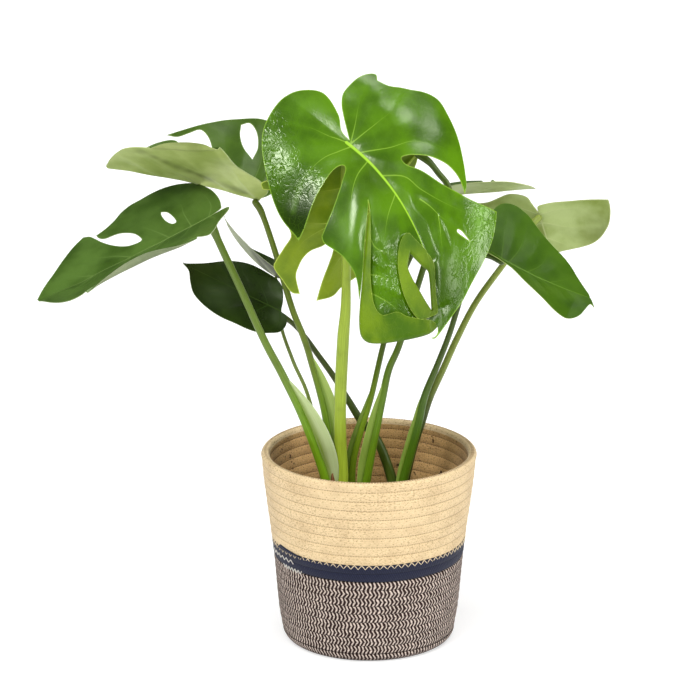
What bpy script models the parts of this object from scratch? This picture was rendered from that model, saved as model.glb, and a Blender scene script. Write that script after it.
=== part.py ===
"""A Swiss-cheese plant (Monstera deliciosa) in a nursery pot inside a coiled rope basket.

The origin is the middle of the basket's flat underside, +Z is up and -Y is the front.
The plant has three crowns. Each leaf is a stalk that stands on a crown and a blade whose
outline is drawn flat, in millimetres: s runs along the midrib from the joint with the
stalk, t runs to the leaf's left as seen from its upper face. The flat blade is then
folded along the midrib, curled to both sides, bent along the midrib and put in place.
"""

import math

import bmesh
import bpy
import numpy as np
from mathutils import Vector
from mathutils.geometry import delaunay_2d_cdt

MM = 0.001
GAP = 0.3                       # clearance between pieces that touch

# Basket: sewn coils of rope, in three colours from bottom to top.
RIM_R = 115.0                   # outer radius at the rim
FOOT_R = 84.0                   # radius of the flat underside
BASKET_H = 206.0
WALL = 9.0                      # thickness of the rope wall
BASE_TOP = 10.0                 # height of the coiled base
NAVY_FOOT = 93.0                # the navy band lies between these heights
NAVY_TOP = 112.0
TURN_SIDES = 48

# Nursery pot, soil and crowns.
POT_FOOT_R, POT_RIM_R = 68.0, 84.0
POT_H = 128.0
POT_WALL = 1.6
SOIL_TOP = 141.0
SOIL_EDGE = 128.0
CROWN_TOP = 150.0
CROWN_DEPTH = 22.0              # how far a crown reaches into the soil
CROWNS = {"crown_left": (-38.0, 0.0, 15.5), "crown_middle": (-10.0, 9.0, 11.5),
          "crown_right": (33.0, 14.0, 16.0)}

# Leaves.
BLADE = 1.1                     # thickness of a blade
EDGE_STEP = 8.0                 # spacing of points along a blade's edge
FILL_STEP = 15.0                # spacing of points inside a blade
ROLL_ROWS = 5                   # rows of faces across a rolled edge
SEAT = 5.0                      # where on the midrib the stalk's top sits
KNOB = 1.2                      # swelling of the stalk's top
STALK_SIDES = 9
STALK_RINGS = 15

# A blade's pose: joint in mm, then heading, pitch and roll of the midrib in degrees.
# fold lifts the left and right halves at the midrib, curl bends them down per 100 mm,
# droop and nape bend the midrib down per 100 mm beyond and behind the joint, sweep moves
# it to the left, and tip_fold is the fold that is reached at the given distance.
# An outline is a list of strokes, each a smooth curve that meets the next in a corner.
# A stroke may carry a roll: the width, radius and angle of an edge that curls upwards, and
# how fast it narrows to both ends. A stalk's route is followed by its radius at some
# heights, and by the top, width and direction of the wing that its sheath makes.
LEAVES = {
    "front": {
        "joint": (-23, -10, 542), "heading": -30, "pitch": -28, "roll": 42,
        "fold": (6, 6), "curl": (30, 30), "droop": 12, "nape": -5, "sweep": -20,
        "outline": [
            (None, [(0, 4), (-13, 7), (-28, 19), (-56, 27), (-78, 10), (-83, -16), (-72, -50),
                    (-40, -81), (-5, -104), (28, -111)]),
            (None, [(28, -111), (25, -97), (15, -68), (10, -38), (12, -25), (18, -23),
                    (25, -36), (36, -62), (46, -91)]),
            (None, [(46, -91), (53, -93), (66, -92), (88, -85), (109, -78)]),
            (None, [(109, -78), (97, -68), (77, -49), (66, -38), (56, -27)]),
            (None, [(56, -27), (68, -32), (80, -44), (100, -64), (122, -87), (143, -102),
                    (152, -103), (160, -94)]),
            ((28, 5, 155, 1.5), [(160, -94), (177, -67), (190, -41), (199, -20)]),
            (None, [(199, -20), (205, -13), (213, -15), (223, -20)]),
            (None, [(223, -20), (215, -8), (206, 6), (200, 32), (190, 65), (184, 85),
                    (173, 104), (165, 110)]),
            (None, [(165, 110), (159, 103), (146, 88), (127, 69), (103, 51), (78, 38), (62, 28),
                    (54, 29), (60, 40), (73, 54), (86, 64), (104, 72), (127, 73)]),
            (None, [(127, 73), (115, 84), (88, 96), (54, 107), (28, 108), (-1, 90), (-24, 78)]),
            (None, [(-24, 78), (-31, 82), (-40, 68), (-41, 54), (-37, 36), (-24, 23),
                    (-12, 13), (0, 4)]),
        ],
        "holes": [
            [((18, 2.5, 160, 2), [(116, -14), (130, -12), (146, -6), (158, -3), (184, -12)]),
             ((18, 2.5, 160, 2), [(184, -12), (168, -24), (154, -28), (138, -27),
                                    (126, -22), (116, -14)])],
            [(None, [(104, 24), (128, 33), (152, 45), (162, 57)]),
             (None, [(162, 57), (149, 50), (126, 37), (104, 24)])],
        ],
        "stalk": [(-31, -5, 150.3), (-28, -6, 176), (-30, -6, 219), (-30, -6, 264),
                  (-27, -6, 329), (-24, -6, 372), (-24, -6, 448), (-25, -5, 512)],
        "thick": ((150, 6.5), (336, 6.3), (385, 4.8), (500, 4.3)), "wing": None},
    "left": {
        "joint": (-162, -10, 465), "heading": -175, "pitch": -28, "roll": 0,
        "fold": (3, 16), "curl": (5, 5), "droop": -2, "nape": 5, "sweep": 0,
        "outline": [
            (None, [(2, 0), (-10, -2), (-12, -8), (-12.5, -23), (-9, -44), (-3, -60), (4, -73),
                    (15, -85), (28, -95), (42, -101), (56, -102.5), (68, -101), (80, -100),
                    (91, -94), (100, -84), (110, -77), (120, -73), (124, -72)]),
            (None, [(124, -72), (122, -64), (116, -57), (104, -55), (95, -50), (85, -39),
                    (80, -28), (79, -20), (83, -18), (93, -21), (103, -29), (113, -41),
                    (120.5, -53.5), (126, -66), (131, -76), (138, -81)]),
            (None, [(138, -81), (152, -70.5), (166.5, -51.5), (181, -33), (195, -15.5),
                    (203, -4)]),
            (None, [(203, -4), (198, 12), (190, 30), (178, 52), (165, 62), (154, 62),
                    (148, 57)]),
            ((11, 4.5, 95, 1), [(148, 57), (133, 46), (112, 42), (95, 42), (77, 43), (63, 47),
                              (42, 56), (29, 58), (20, 59)]),
            (None, [(20, 59), (13, 68), (6, 73), (-1, 62), (-9, 38), (-19, 17), (-17, 6),
                    (2, 0)]),
        ],
        "holes": [[(None, [(50, -53), (43.5, -46), (39, -31), (38.5, -22), (43, -22), (48, -32),
                           (50.5, -45), (50, -53)])]],
        "stalk": [(-46, -5, 150.3), (-46, -9, 178), (-68, -10, 242), (-90, -11, 291),
                  (-109, -11, 329), (-134, -11, 387), (-151, -10, 425), (-160, -9, 446)],
        "thick": ((150, 5.6), (240, 4.5), (330, 4.0), (460, 3.8)), "wing": (290, 15, 0)},
    "back_left": {
        "joint": (-113, 50, 465), "heading": 172, "pitch": 15, "roll": 0,
        "fold": (41, 36), "curl": (5, 5), "droop": 4, "nape": 5, "sweep": 6,
        "outline": [
            (None, [(2, -1), (-8, -12), (-20, -40), (-14, -79), (8, -100.5), (30, -105.5),
                    (56, -95.5), (78, -82), (100, -66), (115, -54.5)]),
            (None, [(115, -54.5), (104, -54.5), (94, -62), (84, -70), (74, -63), (66, -48),
                    (64, -32), (68, -22), (80, -30), (97, -44)]),
            (None, [(97, -44), (106, -49), (117, -45), (130, -34), (146, -13), (155, -5)]),
            (None, [(155, -5), (164, -3), (165, 4)]),
            (None, [(165, 4), (160, 20), (152, 38), (144, 51), (133, 59), (118, 65)]),
            ((12, 3.6, 120, 1), [(118, 65), (100, 72), (82, 78), (64, 88), (46, 104)]),
            (None, [(46, 104), (37, 88), (28, 66), (16, 53), (3, 42), (-6, 22), (2, -1)]),
        ],
        "holes": [[(None, [(46, -91), (38, -96), (28, -85), (22, -66), (23, -48)]),
                   (None, [(23, -48), (35, -59), (43, -75), (46, -91)])]],
        "stalk": [(-34, 7, 150.3), (-37, 7, 174), (-46, 14, 240), (-61, 24, 297),
                  (-69, 28, 322), (-81, 34, 352), (-99, 44, 412), (-112, 50, 450)],
        "thick": ((150, 4.4), (260, 3.7), (450, 3.4)), "wing": (300, 9, 0)},
    "low_left": {
        "joint": (-91, 44, 344), "heading": 184, "pitch": 28, "roll": -35,
        "fold": (-3, -3), "curl": (12, 12), "droop": 0, "nape": 5, "sweep": 0,
        "outline": [
            (None, [(2, 0), (3, -14), (6, -30), (14, -40), (26, -43), (37, -44), (50, -43),
                    (65.5, -37), (78, -29), (96, -14), (112, -4), (119, -1)]),
            (None, [(119, -1), (110, 5), (105, 17), (98, 29), (87, 36), (74, 40), (60, 41.5),
                    (46, 41), (31, 40.5), (18, 38), (7, 33), (-4, 25), (-8, 13), (-5, 3),
                    (2, 0)]),
        ],
        "holes": [],
        "stalk": [(26, 20, 150.3), (24, 22, 168), (10, 28, 205), (-9, 35, 228),
                  (-22, 38, 249), (-37, 40, 274), (-54, 42, 298), (-68, 43, 318),
                  (-80, 45, 331)],
        "thick": ((150, 5.8), (215, 4.6), (260, 3.4), (340, 2.5)), "wing": None},
    "spear": {
        "joint": (-93.5, 96, 366), "heading": 166, "pitch": 24, "roll": 10,
        "fold": (28, 28), "curl": (5, 5), "droop": -45, "nape": 5, "sweep": 0,
        "outline": [
            (None, [(2, 0), (-7, -8), (2, -18), (16, -22), (32, -17), (50, -8), (72, -3), (92, 0)]),
            (None, [(92, 0), (74, 11), (50, 22), (24, 26), (0, 20), (-7, 8), (2, 0)]),
        ],
        "holes": [],
        "stalk": [(-44, 8, 150.3), (-45, 12, 174), (-63, 38, 249), (-80, 58, 285),
                  (-93, 78, 318), (-95, 92, 346)],
        "thick": ((150, 2.2), (340, 1.8)), "wing": None},
    "right": {
        "joint": (135, 0, 417), "heading": -12, "pitch": -28, "roll": 25,
        "fold": (10, 38), "curl": (10, 10), "droop": 8, "nape": 5, "sweep": 22,
        "tip_fold": (5, 15, 90),
        "outline": [
            (None, [(2, 0), (-14, 1), (-28, 4), (-33, 20), (-32, 36), (-30.5, 48), (-28.5, 58),
                    (-24.5, 65), (-18, 69.5), (-10, 71), (-1, 69.5), (7, 67), (18.5, 60.5), (31, 53),
                    (43.5, 46.5), (57, 40), (70, 31), (82, 20), (93, 10.5), (101, 4)]),
            (None, [(101, 4), (106, -3), (109, -11), (112, -20)]),
            (None, [(112, -20), (107.5, -14), (105.6, -18), (104, -30), (102, -42), (97.5, -51),
                    (92, -55.5), (83.5, -56), (74, -53.5), (60, -47), (47, -42), (33, -35),
                    (19, -24), (6, -22), (-10, -27), (-22, -20), (-26, -6), (-13, -1), (2, 0)]),
        ],
        "holes": [],
        "stalk": [(34, 6, 150.3), (37, 5, 173), (46, 5, 208), (53, 5, 237), (59, 5, 264),
                  (72, 5, 298), (84, 7, 330), (94, 10, 363), (103, 14, 394), (114, 16, 412),
                  (126, 11, 415)],
        "thick": ((150, 5.6), (250, 4.2), (300, 3.2), (412, 2.9)), "wing": (272, 7, 180)},
    "far_right": {
        "joint": (180, 88, 442), "heading": 46, "pitch": -66, "roll": -27,
        "fold": (5, 5), "curl": (15, 15), "droop": 8, "nape": 5, "sweep": 0,
        "outline": [
            (None, [(2, 0), (-6, 0), (-8, -9), (-8.6, -21), (-8, -37), (-7.7, -54), (-6.3, -79)]),
            (None, [(-6.3, -79), (1, -79), (11, -77), (24, -72), (34, -65), (42, -57), (48, -47),
                    (51, -35), (52.5, -21), (54, -8), (60, 8), (68, 20)]),
            (None, [(68, 20), (60, 36), (44, 54), (24, 66), (4, 74), (-14, 76), (-20, 71),
                    (-17, 62), (-17, 52), (-20.5, 41), (-24, 31), (-24.5, 23), (-22, 14),
                    (-18, 8), (-10, 5), (2, 0)]),
        ],
        "holes": [],
        "stalk": [(38, 17, 150.3), (40, 18, 170), (48, 21, 203), (57, 23, 231),
                  (65, 27, 255), (79, 34, 285), (93, 42, 315), (114, 54, 353),
                  (144, 68, 392), (169, 80, 425)],
        "thick": ((150, 4.8), (260, 3.6), (425, 3.2)), "wing": None},
    "behind": {
        "joint": (53, 40, 522), "heading": -164, "pitch": -49, "roll": 85,
        "fold": (5, 5), "curl": (12, 12), "droop": 0, "nape": 0, "sweep": 0,
        "outline": [
            (None, [(2, 0), (14, -8), (30, -14), (50, -30), (76, -44), (108, -46), (140, -40),
                    (163, -33), (177, -31), (191, -20)]),
            (None, [(191, -20), (168, -9), (142, 2), (129, 9), (131, 14), (141, 15), (153, 22),
                    (164, 24), (174, 22), (184, 17), (196, 1)]),
            (None, [(196, 1), (200, 10), (196, 26), (191, 43), (182, 47), (168, 49), (154, 51),
                    (146, 64), (135, 76)]),
            (None, [(135, 76), (126, 80), (124, 92), (134, 113)]),
            (None, [(134, 113), (129, 119), (118, 110), (100, 92), (76, 78), (46, 70),
                    (18, 60), (-2, 44), (-10, 24), (-6, 8), (2, 0)]),
        ],
        "holes": [],
        "stalk": [(-6, 4, 150.3), (-3, 1, 172), (3, 2, 205), (14, 6, 259), (21, 10, 291),
                  (33, 14, 320), (54, 24, 388), (72, 32, 446), (83, 35, 471), (82, 36, 485),
                  (73, 36, 497), (63, 34, 510)],
        "thick": ((150, 5.6), (250, 4.2), (330, 3.3), (520, 3.3)), "wing": (286, 11, 180)},
    "back_right": {
        "joint": (82, 80, 462), "heading": 5, "pitch": 4.5, "roll": 0,
        "fold": (10, 30), "curl": (5, 5), "droop": 3, "nape": 5, "sweep": 0,
        "outline": [
            (None, [(2, 0), (-9, 8), (-11, 20), (4, 27), (24, 29), (41, 27)]),
            (None, [(41, 27), (45, 13), (52, 28)]),
            (None, [(52, 28), (60, 15), (70, 9), (86, 8), (95, 0)]),
            (None, [(95, 0), (86, -12), (64, -32), (34, -40), (6, -37), (-10, -26), (-9, -8),
                    (2, 0)]),
        ],
        "holes": [],
        "stalk": [(-15, 14, 150.3), (-18, 14, 168), (-16, 16, 192), (-7, 20, 225),
                  (3, 28, 257), (16, 42, 311), (35, 60, 378), (66, 76, 436)],
        "thick": ((150, 4.4), (240, 3.2), (442, 2.5)), "wing": (272, 6, 180)},
}

# Colours: red, green, blue (linear), roughness.
PAINT = {
    "jute_rope": (0.78, 0.56, 0.30, 0.9),
    "navy_rope": (0.02, 0.03, 0.07, 0.85),
    "two_tone_rope": (0.30, 0.24, 0.20, 0.9),
    "pot_plastic": (0.02, 0.02, 0.02, 0.5),
    "soil": (0.05, 0.03, 0.02, 1.0),
    "crown_bark": (0.16, 0.14, 0.05, 0.8),
    "dry_sheath": (0.20, 0.08, 0.03, 0.9),
    "stalk_green": (0.16, 0.30, 0.04, 0.45),
    "leaf_bright": (0.07, 0.22, 0.01, 0.3),
    "leaf_mid": (0.06, 0.17, 0.02, 0.35),
    "leaf_dark": (0.02, 0.06, 0.01, 0.35),
    "leaf_pale": (0.28, 0.38, 0.12, 0.45),
    "leaf_young": (0.32, 0.42, 0.04, 0.4),
}
BLADE_PAINT = {"front": "leaf_bright", "left": "leaf_mid", "back_left": "leaf_mid",
               "low_left": "leaf_dark", "spear": "leaf_dark", "right": "leaf_mid",
               "far_right": "leaf_pale", "behind": "leaf_young", "back_right": "leaf_pale"}


# ---------------------------------------------------------------- curves and blades

def smooth(points, step):
    """Points about `step` apart on a Catmull-Rom curve through the given points."""
    p = np.array(points, float)
    p = np.vstack([2 * p[0] - p[1], p, 2 * p[-1] - p[-2]])
    out = []
    for i in range(1, len(p) - 2):
        count = max(1, round(float(np.linalg.norm(p[i + 1] - p[i])) / step))
        for j in range(count):
            u = j / count
            out.append(0.5 * (2 * p[i] + (p[i + 1] - p[i - 1]) * u
                              + (2 * p[i - 1] - 5 * p[i] + 4 * p[i + 1] - p[i + 2]) * u ** 2
                              + (3 * p[i] - p[i - 1] - 3 * p[i + 1] + p[i + 2]) * u ** 3))
    return np.array(out + [p[-2]])


def blade_frame(leaf):
    """The midrib's direction, the leaf's left and the upper face's normal at the joint."""
    h, p, r = (math.radians(leaf[k]) for k in ("heading", "pitch", "roll"))
    along = np.array([math.cos(h) * math.cos(p), math.sin(h) * math.cos(p), math.sin(p)])
    up = np.array([-math.cos(h) * math.sin(p), -math.sin(h) * math.sin(p), math.cos(p)])
    left = np.cross(up, along)
    return (along, math.cos(r) * left + math.sin(r) * up,
            math.cos(r) * up - math.sin(r) * left)


def arc(start, bend, length):
    """Where an arc ends that leaves at the angle start and turns down by bend per mm."""
    bend = np.where(np.abs(bend) < 1e-7, 1e-7, bend)
    end = start - bend * length
    return (np.sin(start) - np.sin(end)) / bend, (np.cos(end) - np.cos(start)) / bend, end


def place_blade(leaf, s, t, h):
    """Positions in mm of points (s, t) of the flat blade, raised h above its face."""
    along, left, up = blade_frame(leaf)
    on_left = t >= 0
    fold = np.radians(np.where(on_left, leaf["fold"][0], leaf["fold"][1]))
    if "tip_fold" in leaf:
        share = np.clip(s / leaf["tip_fold"][2], 0, 1)
        tip = np.radians(np.where(on_left, leaf["tip_fold"][0], leaf["tip_fold"][1]))
        fold = fold * (1 - share) + tip * share
    curl = np.radians(np.where(on_left, leaf["curl"][0], leaf["curl"][1])) / 100
    x, z, turn = arc(fold, curl, np.abs(t))
    x = np.where(on_left, 1, -1) * (x - h * np.sin(turn))
    x = x + leaf["sweep"] * np.clip(s / 100, 0, None) ** 2
    z = z + h * np.cos(turn)
    bend = np.radians(np.where(s >= 0, leaf["droop"], leaf["nape"])) / 100
    a, c, turn = arc(0.0, bend, np.abs(s))
    side = np.where(s >= 0, 1, -1)
    turn = side * turn
    return (np.array(leaf["joint"]) + np.multiply.outer(side * a, along)
            + np.multiply.outer(c, up) + np.multiply.outer(x, left)
            + np.multiply.outer(z * np.cos(turn), up) - np.multiply.outer(z * np.sin(turn), along))


def inside(points, ring):
    """Which of the points lie inside the closed polygon."""
    a, b = ring, np.roll(ring, -1, axis=0)
    hit = np.zeros(len(points), bool)
    for (x0, y0), (x1, y1) in zip(a, b):
        spans = (y0 > points[:, 1]) != (y1 > points[:, 1])
        if spans.any():
            cut = x0 + (points[:, 1] - y0) * (x1 - x0) / (y1 - y0 if y1 != y0 else 1e-9)
            hit ^= spans & (points[:, 0] < cut)
    return hit


def trace(strokes, step):
    """One closed ring of points from the strokes, and the stretch that each stroke covers."""
    ring, spans = [], []
    for roll, points in strokes:
        curve = smooth(points, step)
        spans.append((roll, len(ring), len(ring) + len(curve) - 1))
        ring.extend(curve[:-1])
    return np.array(ring), spans


def fill_blade(leaf):
    """The flat blade as points (s, t, h) and triangles, rolled edges included."""
    rings = [trace(leaf["outline"], EDGE_STEP)] + [trace(h, EDGE_STEP * 0.75) for h in leaf["holes"]]
    points, edges = [], []
    for ring, _ in rings:
        first = len(points)
        points.extend(ring)
        edges.extend((first + i, first + (i + 1) % len(ring)) for i in range(len(ring)))
    border = np.array(points)
    low, high = border.min(axis=0), border.max(axis=0)
    low, high = np.floor(low / FILL_STEP), np.ceil(high / FILL_STEP)
    grid = np.array([(SEAT + s * FILL_STEP, t * FILL_STEP)
                     for s in np.arange(low[0] - 1, high[0]) for t in np.arange(low[1], high[1])])
    keep = inside(grid, rings[0][0])
    for ring, _ in rings[1:]:
        keep &= ~inside(grid, ring)
    clear = np.linalg.norm(grid[:, None] - border[None], axis=2).min(axis=1) > FILL_STEP * 0.5
    clear |= (grid[:, 0] == SEAT) & (grid[:, 1] == 0)
    grid = grid[keep & clear]
    flat = [Vector((float(s), float(t))) for s, t in np.vstack([border, grid])]
    spot, _, faces, *_ = delaunay_2d_cdt(flat, edges, [], 0, 1e-4)
    spot = np.array([(p.x, p.y) for p in spot])
    faces = np.array([tuple(f) for f in faces])
    middle = spot[faces].mean(axis=1)
    solid = inside(middle, rings[0][0])
    for ring, _ in rings[1:]:
        solid &= ~inside(middle, ring)
    faces = [tuple(f) for f in faces[solid]]
    corner = [(float(s), float(t), 0.0) for s, t in spot]
    first = 0
    for ring, spans in rings:
        for roll, start, end in spans:
            if roll:
                add_roll(corner, faces, ring, first, start, end, roll)
        first += len(ring)
    return np.array(corner), faces


def add_roll(corner, faces, ring, first, start, end, roll):
    """Add a curled-up edge along a stretch of the ring to the blade's points and faces."""
    width, radius, angle, taper = roll[0], roll[1], math.radians(roll[2]), roll[3]
    count = end - start
    spots = [ring[(start + i) % len(ring)] for i in range(count + 1)]
    area = float(np.sum(ring[:, 0] * np.roll(ring[:, 1], -1) - ring[:, 1] * np.roll(ring[:, 0], -1)))
    hand = 1.0 if area > 0 else -1.0
    if first:
        hand = -hand            # a hole's blade lies outside its ring
    rows = [[first + (start + i) % len(ring) for i in range(count + 1)]]
    for row in range(1, ROLL_ROWS + 1):
        line = [rows[0][0]]
        for i in range(1, count):
            ahead = spots[i + 1] - spots[i - 1]
            ahead = ahead / np.linalg.norm(ahead)
            out = hand * np.array([ahead[1], -ahead[0]])
            reach = width * math.sin(math.pi * i / count) ** taper
            if row < ROLL_ROWS:
                reach = min(0.8 * reach, radius * angle) * row / (ROLL_ROWS - 1)
            turn = min(reach / radius, angle)
            rest = reach - turn * radius
            far = radius * math.sin(turn) + rest * math.cos(turn)
            high = radius * (1 - math.cos(turn)) + rest * math.sin(turn)
            line.append(len(corner))
            corner.append((spots[i][0] + out[0] * far, spots[i][1] + out[1] * far, high))
        line.append(rows[0][-1])
        rows.append(line)
    for low, high in zip(rows, rows[1:]):
        for i in range(count):
            quad = [low[i], low[i + 1], high[i + 1], high[i]]
            quad = [v for k, v in enumerate(quad) if v != quad[k - 1]]
            faces.append(tuple(quad[::-1] if hand > 0 else quad))


# ---------------------------------------------------------------- solids

def paint(name):
    """The material of that name, made once."""
    if name in bpy.data.materials:
        return bpy.data.materials[name]
    red, green, blue, rough = PAINT[name]
    material = bpy.data.materials.new(name)
    material.use_nodes = True
    shader = material.node_tree.nodes["Principled BSDF"]
    shader.inputs["Base Color"].default_value = (red, green, blue, 1.0)
    shader.inputs["Roughness"].default_value = rough
    return material


def add_solid(name, points_mm, faces, colour):
    """A named object from points in millimetres, with its faces turned outwards."""
    mesh = bpy.data.meshes.new(name)
    mesh.from_pydata([tuple(MM * float(c) for c in p) for p in points_mm], [], faces)
    work = bmesh.new()
    work.from_mesh(mesh)
    bmesh.ops.recalc_face_normals(work, faces=work.faces)
    work.to_mesh(mesh)
    work.free()
    mesh.shade_smooth()
    mesh.set_sharp_from_angle(angle=math.radians(40))
    mesh.materials.append(paint(colour))
    item = bpy.data.objects.new(name, mesh)
    bpy.context.scene.collection.objects.link(item)
    return item


def thicken(points, faces, thickness):
    """A closed solid around a sheet: both faces and the walls along its free edges."""
    normal = np.zeros_like(points)
    for face in faces:
        p = points[list(face)]
        n = np.cross(p[1] - p[0], p[2] - p[0])
        if len(face) == 4:
            n = n + np.cross(p[2] - p[0], p[3] - p[0])
        for v in face:
            normal[v] += n
    normal /= np.linalg.norm(normal, axis=1)[:, None]
    count = len(points)
    shell = np.vstack([points + normal * thickness / 2, points - normal * thickness / 2])
    solid = list(faces) + [tuple(v + count for v in reversed(f)) for f in faces]
    used = {}
    for face in faces:
        for a, b in zip(face, face[1:] + face[:1]):
            used[(a, b)] = True
    for a, b in used:
        if (b, a) not in used:
            solid.append((b, a, a + count, b + count))
    return shell, solid


def turned(name, profile, colour, sides=TURN_SIDES):
    """A solid turned round the Z axis from a closed profile of (radius, height) in mm."""
    points, rings = [], []
    for radius, height in profile:
        if radius == 0:
            rings.append([len(points)] * sides)
            points.append((0.0, 0.0, height))
            continue
        rings.append([len(points) + i for i in range(sides)])
        for i in range(sides):
            turn = 2 * math.pi * i / sides
            points.append((radius * math.cos(turn), radius * math.sin(turn), height))
    faces = []
    for low, high in zip(rings, rings[1:] + rings[:1]):
        if low[0] == low[1] and high[0] == high[1]:
            continue
        for i in range(sides):
            j = (i + 1) % sides
            quad = [low[i], low[j], high[j], high[i]]
            faces.append(tuple(v for k, v in enumerate(quad) if v != quad[k - 1]))
    return add_solid(name, points, faces, colour)


def wall_radius(height):
    """Outer radius of the basket at a height, in mm."""
    heights = (0, 5, 10, 30, 49, 93, 127, 177, 206)
    radii = (FOOT_R, 89, 91.5, 95, 97, 100.8, 104.6, 111.5, RIM_R - 1)
    return float(np.interp(height, heights, radii))


def rope_wall(name, foot, top, colour, rows, round_top=False):
    """A ring of the basket's wall between two heights."""
    levels = [foot + (top - foot) * i / rows for i in range(rows + 1)]
    outer = [(wall_radius(z), z) for z in levels]
    inner = [(wall_radius(z) - WALL, z) for z in reversed(levels)]
    crown = []
    if round_top:
        outer[-1] = (outer[-1][0], top - WALL / 2)
        inner[0] = (inner[0][0], top - WALL / 2)
        middle = outer[-1][0] - WALL / 2
        crown = [(middle + WALL / 2 * math.cos(a), top - WALL / 2 + WALL / 2 * math.sin(a))
                 for a in (math.pi / 4, math.pi / 2, 3 * math.pi / 4)]
    return turned(name, outer + crown + inner, colour)


def make_basket():
    """The base and the three colours of the rope wall, resting on each other."""
    base = [(0, 0), (FOOT_R, 0), (89, 3), (91.5, BASE_TOP), (0, BASE_TOP)]
    turned("basket_base", base, "two_tone_rope")
    rope_wall("basket_patterned_wall", BASE_TOP + GAP, NAVY_FOOT, "two_tone_rope", 3)
    rope_wall("basket_navy_band", NAVY_FOOT + GAP, NAVY_TOP, "navy_rope", 1)
    rope_wall("basket_jute_wall", NAVY_TOP + GAP, BASKET_H, "jute_rope", 4, round_top=True)


def make_pot():
    """The nursery pot that stands on the basket's base."""
    foot = BASE_TOP + GAP
    rim = foot + POT_H
    lip = 3.0
    profile = [(0, foot), (POT_FOOT_R - 2, foot), (POT_FOOT_R, foot + 2),
               (POT_RIM_R - lip, rim - 12), (POT_RIM_R, rim - 12), (POT_RIM_R, rim),
               (POT_RIM_R - lip - POT_WALL + 1, rim), (POT_FOOT_R - POT_WALL, foot + 2),
               (0, foot + 2)]
    return turned("nursery_pot", profile, "pot_plastic")


def make_soil():
    """The potting soil, mounded in the middle, with a socket for each crown."""
    foot = BASE_TOP + GAP + 2 + GAP
    inner = POT_FOOT_R - POT_WALL
    slope = (POT_RIM_R - 3.0 - POT_WALL + 1 - inner) / (POT_H - 2)
    edge = inner + slope * (SOIL_EDGE - foot)
    profile = [(0, foot), (inner - GAP - 1, foot), (edge - GAP - 1, SOIL_EDGE),
               (62, SOIL_TOP), (0, SOIL_TOP)]
    soil = turned("potting_soil", profile, "soil")
    for name, (x, y, radius) in CROWNS.items():
        cutter = cylinder("socket_" + name, x, y, radius + GAP,
                          SOIL_TOP - CROWN_DEPTH - GAP, SOIL_TOP + 20)
        cutter.hide_render = True
        cutter.display_type = "WIRE"
        cut = soil.modifiers.new(name, "BOOLEAN")
        cut.operation = "DIFFERENCE"
        cut.object = cutter


def cylinder(name, x, y, radius, low, high, sides=20):
    """An upright cylinder, sizes in mm."""
    points = [(x + radius * math.cos(2 * math.pi * i / sides),
               y + radius * math.sin(2 * math.pi * i / sides), z)
              for z in (low, high) for i in range(sides)]
    faces = [tuple(range(sides)), tuple(range(sides, 2 * sides))]
    faces += [(i, (i + 1) % sides, sides + (i + 1) % sides, sides + i) for i in range(sides)]
    return add_solid(name, points, faces, "soil")


def make_crowns():
    """The short stems that the leaf stalks stand on."""
    sides = 20
    for name, (x, y, radius) in CROWNS.items():
        levels = [(SOIL_TOP - CROWN_DEPTH, radius - 3), (SOIL_TOP - 4, radius),
                  (SOIL_TOP + 3, radius), (CROWN_TOP, radius - 0.5)]
        points = [(x + r * math.cos(2 * math.pi * i / sides),
                   y + r * math.sin(2 * math.pi * i / sides), z)
                  for z, r in levels for i in range(sides)]
        faces = [tuple(range(sides)), tuple(range(3 * sides, 4 * sides))]
        for row in range(3):
            for i in range(sides):
                a, b = row * sides + i, row * sides + (i + 1) % sides
                faces.append((a, b, b + sides, a + sides))
        add_solid(name, points, faces, "crown_bark")


def stalk_end(leaf):
    """The centre of the stalk's round top, which leaves the gap under the blade's seat."""
    spots = place_blade(leaf, np.full(2, SEAT), np.zeros(2), np.array([0.0, -1.0]))
    return spots[0] + (spots[1] - spots[0]) * (leaf["thick"][-1][1] * KNOB + BLADE / 2 + GAP)


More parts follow.
